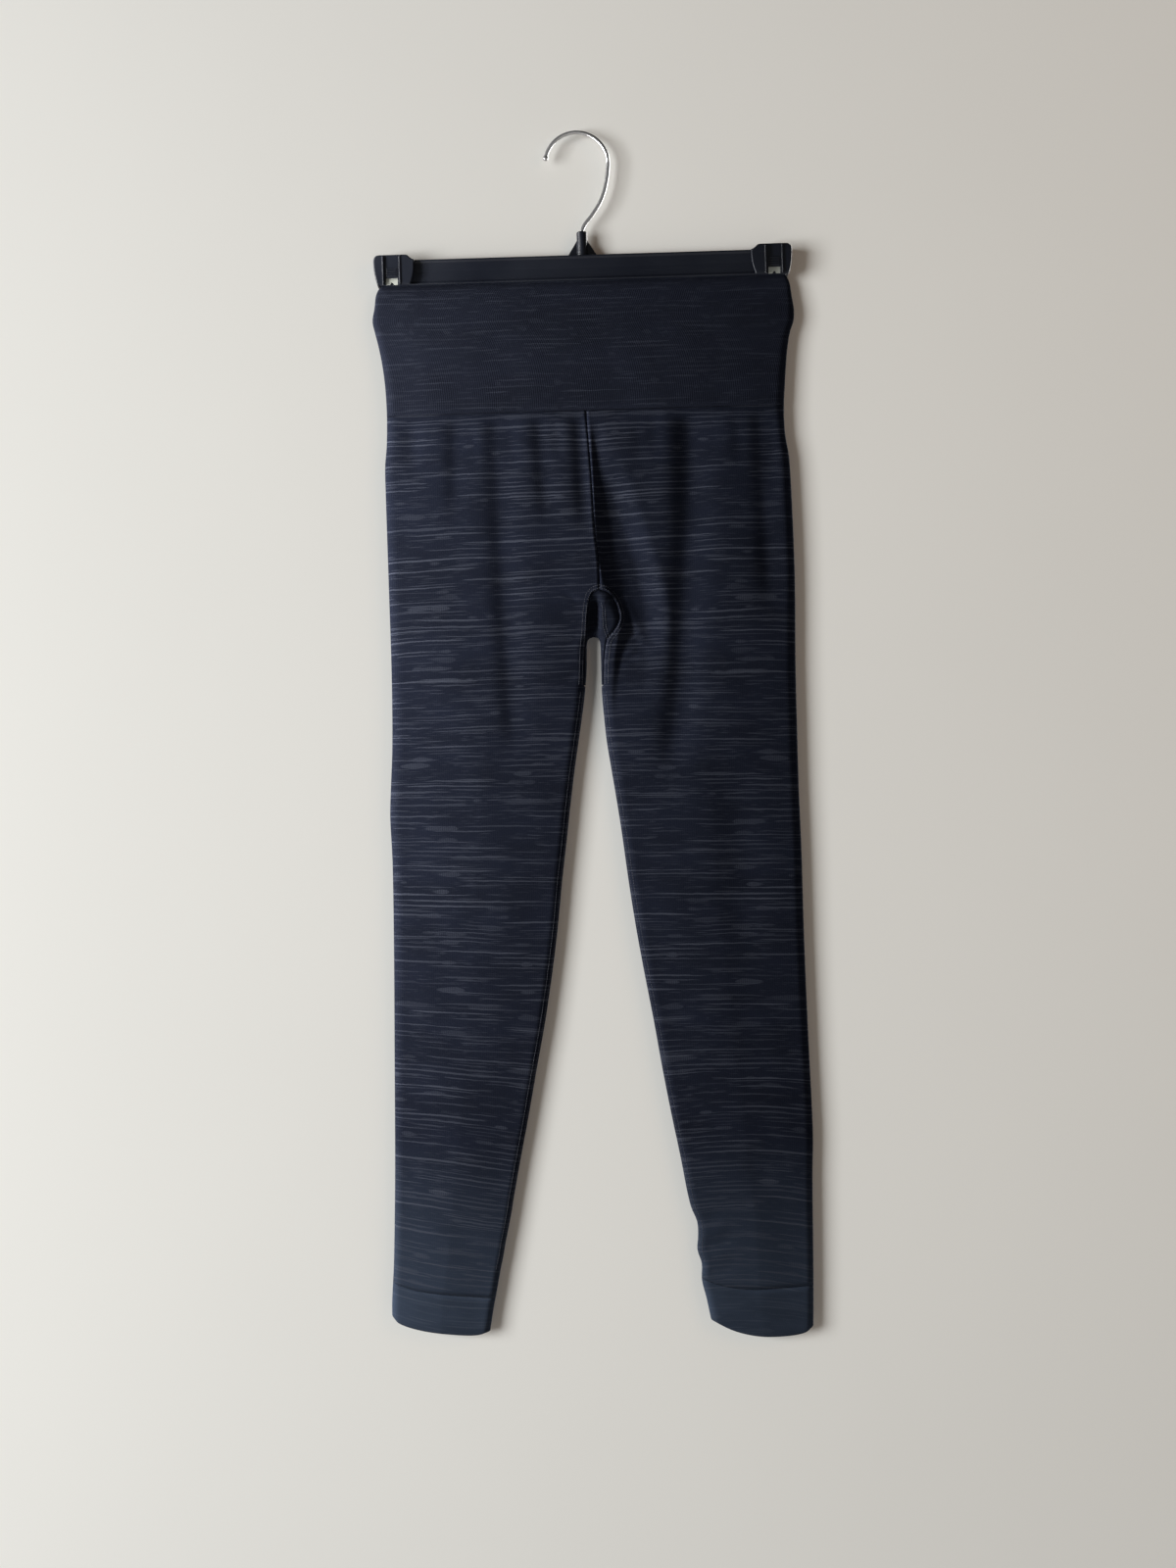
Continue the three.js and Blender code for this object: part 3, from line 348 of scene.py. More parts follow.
def fold_depth(x, z, side):
    depth = np.zeros_like(x)
    for fold in rows_of(FOLDS[side]):
        length = fold["top"] - fold["end"]
        along = (fold["top"] - z) / length
        fade = min(FOLD_FADE, length / 2)
        start = WAIST_FADE if fold["top"] > WAIST_SEAM - 1 else fade
        window = ease(along * length / start) * ease((1 - along) * length / fade)
        off = x - mix(fold["topX"], fold["endX"], along) - fold["bow"] * 4 * along * (1 - along)
        width = fold["width"] * (1 + np.sign(off) * fold["lean"])
        depth += fold["depth"] * window * bell(off, width)
    for crease in rows_of(CREASES[side]):
        run_x, run_z = crease["toX"] - crease["fromX"], crease["toZ"] - crease["fromZ"]
        length = math.hypot(run_x, run_z)
        dx, dz = x - crease["fromX"], z - crease["fromZ"]
        along = (dx * run_x + dz * run_z) / length**2
        off = (dx * run_z - dz * run_x) / length - crease["bow"] * 4 * along * (1 - along)
        # A crease deepens over its first third and fades over its last half
        window = ease(along * 3) * ease((1 - along) * 2)
        depth += crease["depth"] * window * bell(off, crease["width"])
    if side == "front":
        start, end = read(POCKET, "from", z), read(POCKET, "to", z)
        drop = ease((x - start) / POCKET_DROP["reach"])
        slope = np.clip((x - start) / (end - start), 0, 1)
        flank = ease((end - x) / POCKET_FLANK["width"] + POCKET_FLANK["beyond"])
        depth += read(POCKET, "depth", z) * mix(slope, drop, POCKET_DROP["share"]) * flank
    return depth


def drift(x, z):
    """The faint unevenness of hanging knit."""
    broad = 0.22 * np.sin(x / 17 + 1.3 * np.sin(z / 71)) * np.sin(z / 53 + x / 90)
    return broad + 0.1 * np.sin(x / 7.3 + z / 31)


def seam_relief(name, away):
    dip, dip_width, roll, roll_away, roll_width = SEAM_RELIEF[name]
    return dip * bell(away, dip_width) - roll * bell(away - roll_away, roll_width)


def cloth_points(x, z, side, wall, dent=0.0, least=0.0):
    """Outer and inner points of the cloth at places of the front view, on one layer."""
    layer = -1.0 if side == "front" else 1.0
    d, gx, gz = inside_outline(x, z)
    d = np.maximum(d, 0)
    turn = np.arccos(1 - np.minimum(d / read(SIDES, "round", z), 1))
    flat = np.sin(turn) * (1 - CROWN["depth"] * np.exp(-((d / CROWN["reach"]) ** 1.5)))
    slack = ease((BAND_TOP - 20 - z) / 60)
    sink = fold_depth(x, z, side) + dent + drift(x, z + 37 * layer) * slack
    y = layer * np.maximum(flat * (read(SIDES, "half", z) - sink), least)
    inward = wall * np.cos(turn)
    outer = np.stack([x, y, z], -1)
    inner = np.stack([x + gx * inward, y - layer * flat * wall, z + gz * inward], -1)
    return outer, inner


class Cloth:
    """A cloth piece as rows of outer and inner points, with its place on the flat knit."""

    def __init__(self, outer, inner, place, loop=False, hem=False):
        self.outer, self.inner, self.place = outer, inner, place
        self.loop, self.hem = loop, hem

    def mesh(self, name):
        rows, columns = self.outer.shape[:2]
        count = rows * columns
        last = columns if self.loop else columns - 1
        i, j = np.meshgrid(np.arange(rows - 1), np.arange(last), indexing="ij")
        i, j = i.ravel(), j.ravel()
        quads = [(i, j, 0), (i, j + 1, 0), (i + 1, j + 1, 0), (i + 1, j, 0)]
        walls = [self.corners(quads), self.corners([(a, b, 1) for a, b, _ in quads[::-1]])]
        points = [self.outer.reshape(-1, 3), self.inner.reshape(-1, 3)]
        edge = np.arange(last)
        top = np.zeros(last, int)
        walls.append(self.rim((top, edge + 1), (top, edge)))
        if self.hem:
            lip, faces, lip_places = self.lip(2 * count)
            points.append(lip)
        else:
            low = top + rows - 1
            faces, lip_places = [], None
            walls.append(self.rim((low, edge), (low, edge + 1)))
        if not self.loop:
            side = np.arange(rows - 1)
            first, end = side * 0, side * 0 + columns - 1
            walls.append(self.rim((side, first), (side + 1, first)))
            walls.append(self.rim((side + 1, end), (side, end)))
        vertices = np.concatenate(points) * MM
        indices = np.concatenate([w[0] for w in walls] + [f[0] for f in faces])
        places = np.concatenate([w[1] for w in walls] + [f[1] for f in faces])
        return make_mesh(name, vertices, indices, places)

    def corners(self, quads):
        """Vertex numbers and knit places of quads given as row, column and wall."""
        rows, columns = self.outer.shape[:2]
        numbers = [wall * rows * columns + i * columns + j % columns for i, j, wall in quads]
        return np.stack(numbers, 1), np.stack([self.place[i, j] for i, j, _ in quads], 1)

    def rim(self, start, end):
        """Quads that join the two walls along an edge, each from its start to its end."""
        return self.corners([(*start, 0), (*end, 0), (*end, 1), (*start, 1)])

    def lip(self, first):
        """The rounded fold of a hem, below the last row."""
        rows, columns = self.outer.shape[:2]
        steps, step_height = 4, 0.5
        outer, inner = self.outer[-1], self.inner[-1]
        down = unit(self.outer[-1] - self.outer[-2])
        middle, reach = (outer + inner) / 2, np.linalg.norm(outer - inner, axis=1)[:, None] / 2
        turns = [math.pi * k / steps for k in range(1, steps)]
        points = [middle + (outer - middle) * math.cos(a) + down * reach * math.sin(a) for a in turns]
        last = columns if self.loop else columns - 1
        j = np.arange(last)
        between = [first + k * columns for k in range(steps - 1)]
        ring = [(rows - 1) * columns, *between, (2 * rows - 1) * columns]
        place = [self.place[-1] - np.array([0, step_height * k]) for k in range(steps + 1)]
        faces = []
        for k in range(steps):
            a, b = ring[k], ring[k + 1]
            numbers = np.stack([a + j, a + (j + 1) % columns, b + (j + 1) % columns, b + j], 1)
            spots = np.stack([place[k][j], place[k][j + 1], place[k + 1][j + 1], place[k + 1][j]], 1)
            faces.append((numbers, spots))
        return np.concatenate(points), faces, place


def make_mesh(name, vertices, quads, places=None):
    """A smooth mesh whose faces look outwards, with its places on the knit where it has them."""
    a, b, c, d = (vertices[quads[:, k]] for k in range(4))
    volume = np.einsum("ij,ij->", a, np.cross(b, c)) + np.einsum("ij,ij->", a, np.cross(c, d))
    if volume < 0:
        quads = quads[:, ::-1]
        places = None if places is None else places[:, ::-1]
    mesh = bpy.data.meshes.new(name)
    mesh.from_pydata(vertices.tolist(), [], quads.tolist())
    if places is not None:
        layer = mesh.uv_layers.new(name="Cloth")
        layer.data.foreach_set("uv", np.ascontiguousarray(places * MM).ravel())
    mesh.polygons.foreach_set("use_smooth", np.full(len(mesh.polygons), True))
    mesh.update()
    return mesh


def add_piece(name, mesh, material, replaced=()):
    obj = bpy.data.objects.new(name, mesh)
    scene.collection.objects.link(obj)
    mesh.materials.clear()
    mesh.materials.append(material)
    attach(obj, "root")
    if replaced:
        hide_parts(*replaced)
    return obj


def girth_places(outer, centre_column, course, loop):
    """Places on the flat knit: the way round from one column, and the course's height."""
    closed = np.concatenate([outer, outer[:, :1]], 1) if loop else outer
    steps = np.linalg.norm(np.diff(closed[..., :2], axis=1), axis=2)
    way = np.concatenate([np.zeros((len(outer), 1)), np.cumsum(steps, 1)], 1)
    way -= way[:, centre_column][:, None]
    height = np.concatenate([course, course[:, :1]], 1) if loop else course
    return np.stack([way, height], -1)


# Tubes: the waistband and the cuffs


def tube_stations(front, turn, back):
    """Stations round a flattened tube from the back's middle, over the right side and front."""
    quarter = np.linspace(0, math.pi / 2, turn + 1)
    half_back = back // 2
    rows = [("back", "face", 0.5 - 0.5 * k / half_back) for k in range(half_back)]
    rows += [("back", "right", a) for a in quarter[::-1]]
    rows += [("front", "right", a) for a in quarter[1:-1]]
    rows += [("front", "face", k / front) for k in range(front + 1)]
    rows += [("front", "left", a) for a in quarter[-2::-1]]
    rows += [("back", "left", a) for a in quarter[1:-1]]
    rows += [("back", "face", 1 - 0.5 * k / half_back) for k in range(half_back)]
    return rows


def station_x(station, right, left, rounding):
    _, edge, value = station
    if edge == "face":
        return mix(right + rounding, left - rounding, value)
    inset = np.maximum(rounding * (1 - math.cos(value)), 1e-4)
    return right + inset if edge == "right" else left - inset


def layered(stations, x, z, wall, dent, least=0.0):
    """Cloth points of a grid whose columns lie on the front or the back layer."""
    outer = np.empty((*x.shape, 3))
    inner = np.empty_like(outer)
    for side in ("front", "back"):
        columns = np.array([s[0] == side for s in stations])
        made = cloth_points(x[:, columns], z[:, columns], side, wall, dent[:, columns], least)
        outer[:, columns], inner[:, columns] = made
    return outer, inner


def waistband():
    stations = tube_stations(front=124, turn=7, back=96)
    top_rows = [BAND_TOP, -118, -124, -126.4, -127.3, -128.2, -130, -132]
    heights = np.array([*top_rows, *np.arange(-134, -236, -2.4), -236.4, WAIST_SEAM + SEAM_GAP / 2])
    z = np.repeat(heights[:, None], len(stations), 1)
    edges = [read(SIDES, column, heights) for column in ("right", "left", "round")]
    x = np.stack([station_x(s, *edges) for s in stations], 1)
    outer, inner = layered(stations, x, z, WALL["band"], seam_relief("band", z - heights[-1]))
    return Cloth(outer, inner, girth_places(outer, 0, z, True), loop=True)


def leg_edges(leg, z):
    """The outer and the inner edge of a leg at each height."""
    return read(SIDES, leg, z), read(INNER_EDGES, leg, z)


def share_across(leg, x, z):
    outer, inner = leg_edges(leg, z)
    return np.clip((x - outer) / (inner - outer), 0, 1)


def course_height(leg, x, z):
    """Height on the flat knit of each place, from the slope and arch of its courses."""
    outer, inner = leg_edges(leg, np.minimum(z, CROTCH_Z))
    middle, half = (outer + inner) / 2, np.abs(inner - outer) / 2
    off = (x - middle) / half
    lean = read(COURSES[leg], "slope", z) * (x - middle)
    return z - lean - read(COURSES[leg], "arch", z) * (1 - off * off)


def cuff(leg):
    stations = tube_stations(front=34, turn=7, back=28)
    close = [0, 0.02, 0.045, 0.08, 0.13, 0.2, 0.28, 0.36]
    shares = np.array([*close, 0.45, 0.54, 0.63, 0.72, 0.8, 0.87, 0.93, 0.97, 1])
    down = np.repeat(shares[:, None], len(stations), 1)
    z = np.full(down.shape, CUFFS_ABOUT)
    x = np.zeros_like(z)
    for _ in range(4):
        for k, station in enumerate(stations):
            outer, inner = leg_edges(leg, z[:, k])
            right, left = (outer, inner) if leg == "right" else (inner, outer)
            x[:, k] = station_x(station, right, left, read(SIDES, "round", z[:, k]))
        across = share_across(leg, x, z)
        seam = read(ANKLES[leg], "seam", across, "across") - SEAM_GAP / 2
        z = mix(seam, read(ANKLES[leg], "hem", across, "across"), down)
    hem_dip = HEM_DIP["depth"] * bell((1 - down) * CUFF_HEIGHT, HEM_DIP["width"])
    dent = seam_relief("cuff", down * CUFF_HEIGHT) + hem_dip
    outer, inner = layered(stations, x, z, WALL["cuff"], dent)
    place = girth_places(outer, 0, course_height(leg, x, z), True)
    return Cloth(outer, inner, place, loop=True, hem=True)


# Leg panels


def panel_edge(leg, side, z):
    """Where a leg panel's front or back edge lies above the inseam."""
    outward = -1 if leg == "right" else 1
    lens = read(GUSSET_ROWS, side + leg.title(), z)
    seam = np.where(z > GUSSET_TOP, read(CENTRE_SEAMS, side, z), lens)
    return seam + outward * SEAM_GAP / 2


def panel_columns():
    """Columns of a leg panel from its front edge round the outer side to its back edge."""
    strip, face, turn, back, back_strip = PANEL_STEPS
    columns = [("front", "strip", k / strip) for k in range(strip)]
    columns += [("front", "face", (k / face) ** CROWDING) for k in range(face)]
    quarter = np.linspace(math.pi / 2, 0, turn)
    columns += [("front", "outer", a) for a in quarter]
    columns += [("back", "outer", a) for a in quarter[-2::-1]]
    columns += [("back", "face", k / back) for k in reversed(range(back))]
    columns += [("back", "strip", k / back_strip) for k in reversed(range(back_strip))]
    return columns


def strip_x(leg, side, share, z):
    """Across the strip beside the panel's edge, which turns round the inseam lower down."""
    inward = 1 if leg == "right" else -1
    above = panel_edge(leg, side, z) - inward * SEAM_STRIP * share
    first_turn = np.arcsin(SEAM_GAP / 2 / read(SIDES, "half", z))
    turn = mix(first_turn, math.pi / 2, share)
    inner = read(INNER_EDGES, leg, z)
    below = inner - inward * read(SIDES, "round", z) * (1 - np.cos(turn))
    return mix(above, below, np.clip((GUSSET_END - z) / (GUSSET_END - INSEAM_START), 0, 1))


def panel_x(leg, column, z):
    side, kind, value = column
    inward = 1 if leg == "right" else -1
    outer, rounding = read(SIDES, leg, z), read(SIDES, "round", z)
    if kind == "strip":
        return strip_x(leg, side, value, z)
    if kind == "face":
        return mix(strip_x(leg, side, 1, z), outer + inward * rounding, value)
    return outer + inward * rounding * max(1 - math.cos(value), 1e-5)


def leg_panel(leg):
    columns = panel_columns()
    heights = np.concatenate([
        [WAIST_SEAM - SEAM_GAP / 2, -238.7, -240], np.arange(-242.5, -387, -3.2),
        np.arange(-387, -402, -1.0), np.arange(-402, GUSSET_END, -2.0),
        [GUSSET_END, INSEAM_START], np.arange(-476, HANG_STARTS, -3.4),
    ])
    ankle_steps = 40
    rows = [(z, 0, 0) for z in heights]
    rows += [(HANG_STARTS, k / ankle_steps, 1) for k in range(ankle_steps + 1)]
    z, down, hanging = (np.repeat(kept[:, None], len(columns), 1) for kept in np.array(rows, float).T)
    x = np.zeros_like(z)
    for _ in range(4):
        for k, column in enumerate(columns):
            x[:, k] = panel_x(leg, column, z[:, k])
        seam = read(ANKLES[leg], "seam", share_across(leg, x, z), "across") + SEAM_GAP / 2
        z = np.where(hanging > 0, mix(HANG_STARTS, seam, down), z)
    for k, column in enumerate(columns):
        x[:, k] = panel_x(leg, column, z[:, k])
    dent = seam_dents(columns, z, down)
    outer, inner = layered(columns, x, z, WALL["leg"], dent, least=SEAM_GAP / 2)
    middle = sum(PANEL_STEPS[:3]) - 1
    return Cloth(outer, inner, girth_places(outer, middle, course_height(leg, x, z), False))


def seam_dents(columns, z, down):
    """How the cloth dips into the seams round a leg panel."""
    far = 99.0
    strip = np.array([c[2] * SEAM_STRIP if c[1] == "strip" else far for c in columns])[None, :]
    centre = seam_relief("centre", strip) * ease((z - INSEAM_START) / 12)
    return centre + seam_relief("waist", z[0, 0] - z) + seam_relief("ankle", (1 - down) * ANKLE_HEIGHT)


# Gusset


def gusset_outline(side, heights):
    """The gusset's edge on one layer, from its right corner over the top to its left corner."""
    right = np.stack([read(GUSSET_ROWS, side + "Right", heights), heights], 1)[::-1]
    left = np.stack([read(GUSSET_ROWS, side + "Left", heights), heights], 1)[1:]
    line = np.concatenate([right, left])
    row = np.arange(len(line))
    run = unit(line[np.minimum(row + 1, len(line) - 1)] - line[np.maximum(row - 1, 0)])
    return line + np.stack([run[:, 1], -run[:, 0]], 1) * SEAM_GAP * 1.2


def notch_facing(outline, heights):
    """The point of the crotch notch that each point of the gusset's outline faces."""
    middle = len(heights) - 1
    steps = np.interp(-heights, -GUSSET_ROWS["z"], np.linspace(0, 1, len(GUSSET_ROWS["z"])))
    share = np.concatenate([steps[::-1], steps[1:]])
    level = np.minimum(mix(CROTCH_Z, outline[:, 1], share**1.6), CROTCH_Z)
    right, left = (read(INNER_EDGES, leg, level) for leg in ("right", "left"))
    edge = np.where(np.arange(len(outline)) < middle, right, left)
    edge[middle] = CROTCH_X
    return np.stack([edge, level], 1)


def gusset_dent(x, z):
    off_x = (x - GUSSET_HOLLOW["x"]) / GUSSET_HOLLOW["half_width"]
    off_z = (z - GUSSET_HOLLOW["z"]) / GUSSET_HOLLOW["half_height"]
    return GUSSET_HOLLOW["depth"] * np.exp(-(off_x**4) - off_z**4)


def gusset():
    top = GUSSET_TOP - np.array([0, 0.2, 0.5, 0.9, 1.4, 2.0, 2.8, 3.8, 5.0, 6.6])
    heights = np.array([*top, *np.arange(-400, GUSSET_END, -2.4), GUSSET_END])
    steps = 26
    rows = []
    for side in ("front", "back"):
        outline = gusset_outline(side, heights)
        notch = notch_facing(outline, heights)
        made = []
        for k in range(steps):
            share = math.sin(k * math.pi / 2 / steps)
            x, z = mix(outline, notch, share).T
            hollow = gusset_dent(x, z) * ease(share * 4) if side == "front" else 0 * x
            dent = hollow + seam_relief("gusset", k)
            made.append(cloth_points(x, z, side, WALL["gusset"], dent, least=0.02))
        rows += made if side == "front" else made[::-1]
    outer = np.stack([r[0] for r in rows])
    inner = np.stack([r[1] for r in rows])
    place = np.stack([outer[..., 0], outer[..., 2] + np.abs(outer[..., 1]) * 0.5], -1)
    return Cloth(outer, inner, place)


# Stitches


def surface_line(line, side, lift, dent=None):
    """Points on the cloth along a line of the front view, with the direction out of it."""
    x, z = line.T
    step = 0.4
    here, aside, below = (
        cloth_points(px, pz, side, 1.0, dent(px, pz) if dent else 0.0)[0]
        for px, pz in ((x, z), (x + step, z), (x, z - step))
    )
    aside, below = aside - here, below - here
    out = unit(np.cross(aside, below))
    out *= np.where((out[:, 1] < 0) == (side == "front"), 1, -1)[:, None]
    return here + out * lift, out


def along_line(line, pitch):
    """Evenly spaced points on a line."""
    steps = np.linalg.norm(np.diff(line, axis=0), axis=1)
    way = np.concatenate([[0], np.cumsum(steps)])
    at = np.arange(pitch / 2, way[-1], pitch)
    return np.stack([np.interp(at, way, line[:, k]) for k in range(line.shape[1])], 1)


def stitch_shells(points, run, out, length, width, height):
    """One small rounded thread over each point, as vertices and quads."""
    around, rings = 8, 5
    angles = np.arange(around) * 2 * math.pi / around
    shares = np.linspace(-1, 1, rings)
    radii = np.sqrt(np.maximum(1 - shares**2, 0.04))
    across = unit(np.cross(out, run))
    u, a = np.meshgrid(shares, angles, indexing="ij")
    r = np.repeat(radii[:, None], around, 1)
    local = np.stack([u * length / 2, r * np.cos(a) * width / 2, r * np.sin(a) * height / 2], -1)
    frames = np.stack([run, across, out], 1)
    vertices = points[:, None] + np.einsum("vk,nkj->nvj", local.reshape(-1, 3), frames)
    quads = []
    for k in range(rings - 1):
        for j in range(around):
            n = (j + 1) % around
            quads.append((k * around + j, k * around + n, (k + 1) * around + n, (k + 1) * around + j))
    for start, turned in ((0, True), ((rings - 1) * around, False)):
        for j in range(1, around - 2, 2):
            ring = (start, start + j, start + j + 1, start + j + 2)
            quads.append(ring[::-1] if turned else ring)
    count = rings * around
    quads = np.array(quads)[None] + (np.arange(len(points)) * count)[:, None, None]
    return vertices.reshape(-1, 3), quads.reshape(-1, 4)


class Stitching:
    """Rows of stitches, gathered to become one mesh."""

    def __init__(self):
        self.vertices, self.quads, self.count = [], [], 0

    def row(self, line, side, pitch=1.9, length=1.5, width=0.5, height=0.42, lift=0.08, dent=None):
        spots = along_line(np.asarray(line, float), pitch)
        points, out = surface_line(spots, side, lift, dent)
        run = unit(np.gradient(points, axis=0))
        vertices, quads = stitch_shells(points, run, out, length, width, height)
        self.vertices.append(vertices)
        self.quads.append(quads + self.count)
        self.count += len(vertices)

    def mesh(self, name):
        return make_mesh(name, np.concatenate(self.vertices) * MM, np.concatenate(self.quads))


def offset_line(line, distance):
    run = unit(np.gradient(line, axis=0))
    return line + np.stack([-run[:, 1], run[:, 0]], 1) * distance


# How far the double rows lie from the gusset's edge and from the inseams
GUSSET_ROWS_OFF = (1.7, 4.3)
INSEAM_ROWS_OFF = (1.6, 4.0)
# The stitched fold that shows on the front of the gusset
LADDER = np.array([(7.4, -402), (8.3, -407), (8.5, -415), (8.7, -423), (10.2, -429), (12.4, -434)])


def gusset_stitching():
    """The double rows round the gusset and along the fold on its front."""
    made = Stitching()
    top = GUSSET_TOP - np.array([0, 0.4, 1.1, 2.2, 4.0])
    heights = np.array([*top, *np.arange(-397.5, GUSSET_END, -3.0), GUSSET_END])
    for side in ("front", "back"):
        outline = gusset_outline(side, heights)
        for distance in GUSSET_ROWS_OFF:
            made.row(offset_line(outline, distance), side)
    for line in LADDER, LADDER + np.array([2.2, 0.5]):
        made.row(line, "front", dent=gusset_dent)
    return made.mesh("gusset_stitching")


def inseam_stitching(leg):
    """The double rows down one inseam, front and back."""
    made = Stitching()
    inward = 1 if leg == "right" else -1
    heights = np.arange(INSEAM_START - 4, -972, -4.0)
    size = {"pitch": 2.2, "length": 1.8, "width": 0.45, "height": 0.4, "lift": 0.05}
    for side in ("front", "back"):
        for inset in INSEAM_ROWS_OFF:
            x = read(INNER_EDGES, leg, heights) - inward * inset
            made.row(np.stack([x, heights], 1), side, **size)
    return made.mesh(f"{leg}_inseam_stitching")


# Hook

HANGER_CENTRE = 0.5
HOOK = {"wire": 1.6, "radius": 27, "centre_x": -2.2, "tip": 168, "side": -8, "ball": 2.3, "foot": -94.6}
HOOK_SIDES = 20


def hook_path():
    """The hook's centre line: a round top, then a long S down into the neck."""
    radius, rise = HOOK["radius"], HOOK["radius"] - HOOK["wire"]
    angles = np.radians(np.linspace(HOOK["tip"], HOOK["side"], 49))
    round_top = [(HOOK["centre_x"] + radius * math.cos(a), -rise + radius * math.sin(a)) for a in angles]
    neck = [(23.4, -38), (20.8, -49), (16.2, -60), (9.4, -70), (3.2, -77.6)]
    foot = [(HANGER_CENTRE + 0.1, -83.4), (HANGER_CENTRE, -87), (HANGER_CENTRE, HOOK["foot"])]
    corners = [Vector((x, 0, z)) for x, z in [*round_top, *neck, *foot]]
    return [p for k in range(len(corners) - 1) for p in smooth_span(corners, k)] + [corners[-1]]


def smooth_span(points, k, steps=5):
    """Points of a smooth curve from one corner to the next."""
    before, a, b = points[max(k - 1, 0)], points[k], points[k + 1]
    after = points[min(k + 2, len(points) - 1)]
    chord = (b - a).length
    leave = (b - before) * chord / max((b - a).length + (a - before).length, 1e-6)
    reach = (after - a) * chord / max((after - b).length + (b - a).length, 1e-6)
    made = []
    for step in range(steps):
        rise, start, finish = curve(step / steps)
        made.append(a * (1 - rise) + b * rise + leave * start + reach * finish)
    return made


def hook():
    """A wire swept along the path, closed at its foot and with a round ball at its tip."""
    path = np.array(hook_path())
    aside = np.array([0.0, 1.0, 0.0])
    across = np.cross(unit(np.gradient(path, axis=0)), aside)
    sides, rows = HOOK_SIDES, len(path)
    angles = np.arange(sides) * 2 * math.pi / sides
    ring = across[:, None] * np.cos(angles)[:, None] + aside * np.sin(angles)[:, None]
    points = (path[:, None] + ring * HOOK["wire"]).reshape(-1, 3)
    i, j = np.meshgrid(np.arange(rows - 1), np.arange(sides), indexing="ij")
    i, j = i.ravel(), j.ravel()
    n = (j + 1) % sides
    quads = np.stack([i * sides + j, i * sides + n, (i + 1) * sides + n, (i + 1) * sides + j], 1)
    ends = [list(range(sides)), [(rows - 1) * sides + k for k in range(sides)][::-1]]
    mesh = bpy.data.meshes.new("hook_wire")
    mesh.from_pydata((points * MM).tolist(), [], quads.tolist() + ends)
    shape = bmesh.new()
    shape.from_mesh(mesh)
    tip = Matrix.Translation(Vector(path[0]) * MM)
    bmesh.ops.create_uvsphere(shape, u_segments=24, v_segments=16, radius=HOOK["ball"] * MM, matrix=tip)
    bmesh.ops.recalc_face_normals(shape, faces=shape.faces)
    shape.to_mesh(mesh)
    shape.free()
    mesh.polygons.foreach_set("use_smooth", np.full(len(mesh.polygons), True))
    mesh.update()
    return mesh


# Materials


class Tree:
    """Short calls that build one material from nodes."""

    def __init__(self, name):
        self.material = bpy.data.materials.new(name)
        self.material.use_nodes = True
        self.nodes = self.material.node_tree.nodes
        self.links = self.material.node_tree.links
        self.surface = self.nodes["Principled BSDF"]

    def put(self, socket, value):
        if isinstance(value, bpy.types.NodeSocket):
            self.links.new(value, socket)
        else:
            socket.default_value = value

    def node(self, kind, inputs=None, **settings):
        made = self.nodes.new("ShaderNode" + kind)
        for key, value in settings.items():
            setattr(made, key, value)
        for key, value in (inputs or {}).items():
            self.put(made.inputs[key], value)
        return made

    def math(self, operation, *values):
        return self.node("Math", dict(enumerate(values)), operation=operation).outputs[0]

    def times(self, a, b, plus=0.0):
        return self.math("MULTIPLY_ADD", a, b, plus)

    def join(self, x, y, z=0.0):
        return self.node("CombineXYZ", {0: x, 1: y, 2: z}).outputs[0]

    def noise(self, place, scale=1.0, detail=2.0, rough=0.5, flat=True):
        made = self.node("TexNoise", {"Vector": place, "Scale": scale, "Detail": detail, "Roughness": rough})
        made.noise_dimensions = "2D" if flat else "3D"
        return made.outputs[0]

    def between(self, value, low, high, to_low=0.0, to_high=1.0):
        return self.node("MapRange", {0: value, 1: low, 2: high, 3: to_low, 4: to_high}).outputs[0]

    def mix(self, share, a, b):
        return self.node("Mix", {0: share, 6: a, 7: b}, data_type="RGBA").outputs[2]

    def bump(self, height, distance, strength=1.0, under=None):
        inputs = {"Height": height, "Distance": distance, "Strength": strength}
        if under is not None:
            inputs["Normal"] = under
        return self.node("Bump", inputs).outputs[0]

    def finish(self, **inputs):
        for key, value in inputs.items():
            self.put(self.surface.inputs[key.replace("_", " ")], value)
        return self.material


# The streaks lie closer together near the ankles, as height and added share
ANKLE_STREAKS = {"from_to": (-860.0, -985.0), "more": 0.03}
# Dashes of pale yarn in millimetres: the height of a row, the length of the noise along it, the
# noise level above which a dash shows, how fast it thins away from its row's middle, the seed of
# its noise, the softness of its ends, how far down its rows are moved, and its weight
DASHES = {
    "long": (4.3, 95.0, 0.49, 1.7, 3.1, 0.05, 0.0, 1.0),
    "short": (2.9, 48.0, 0.53, 1.1, 41.7, 0.05, 0.8, 0.7),
    "fine": (1.7, 15.0, 0.5, 0.6, 23.9, 0.12, 0.3, 0.3),
    "patch": (7.6, 34.0, 0.61, 0.40, 77.3, 0.05, 0.0, 1.0),
}
WALE, COURSE = 1.8, 1.25


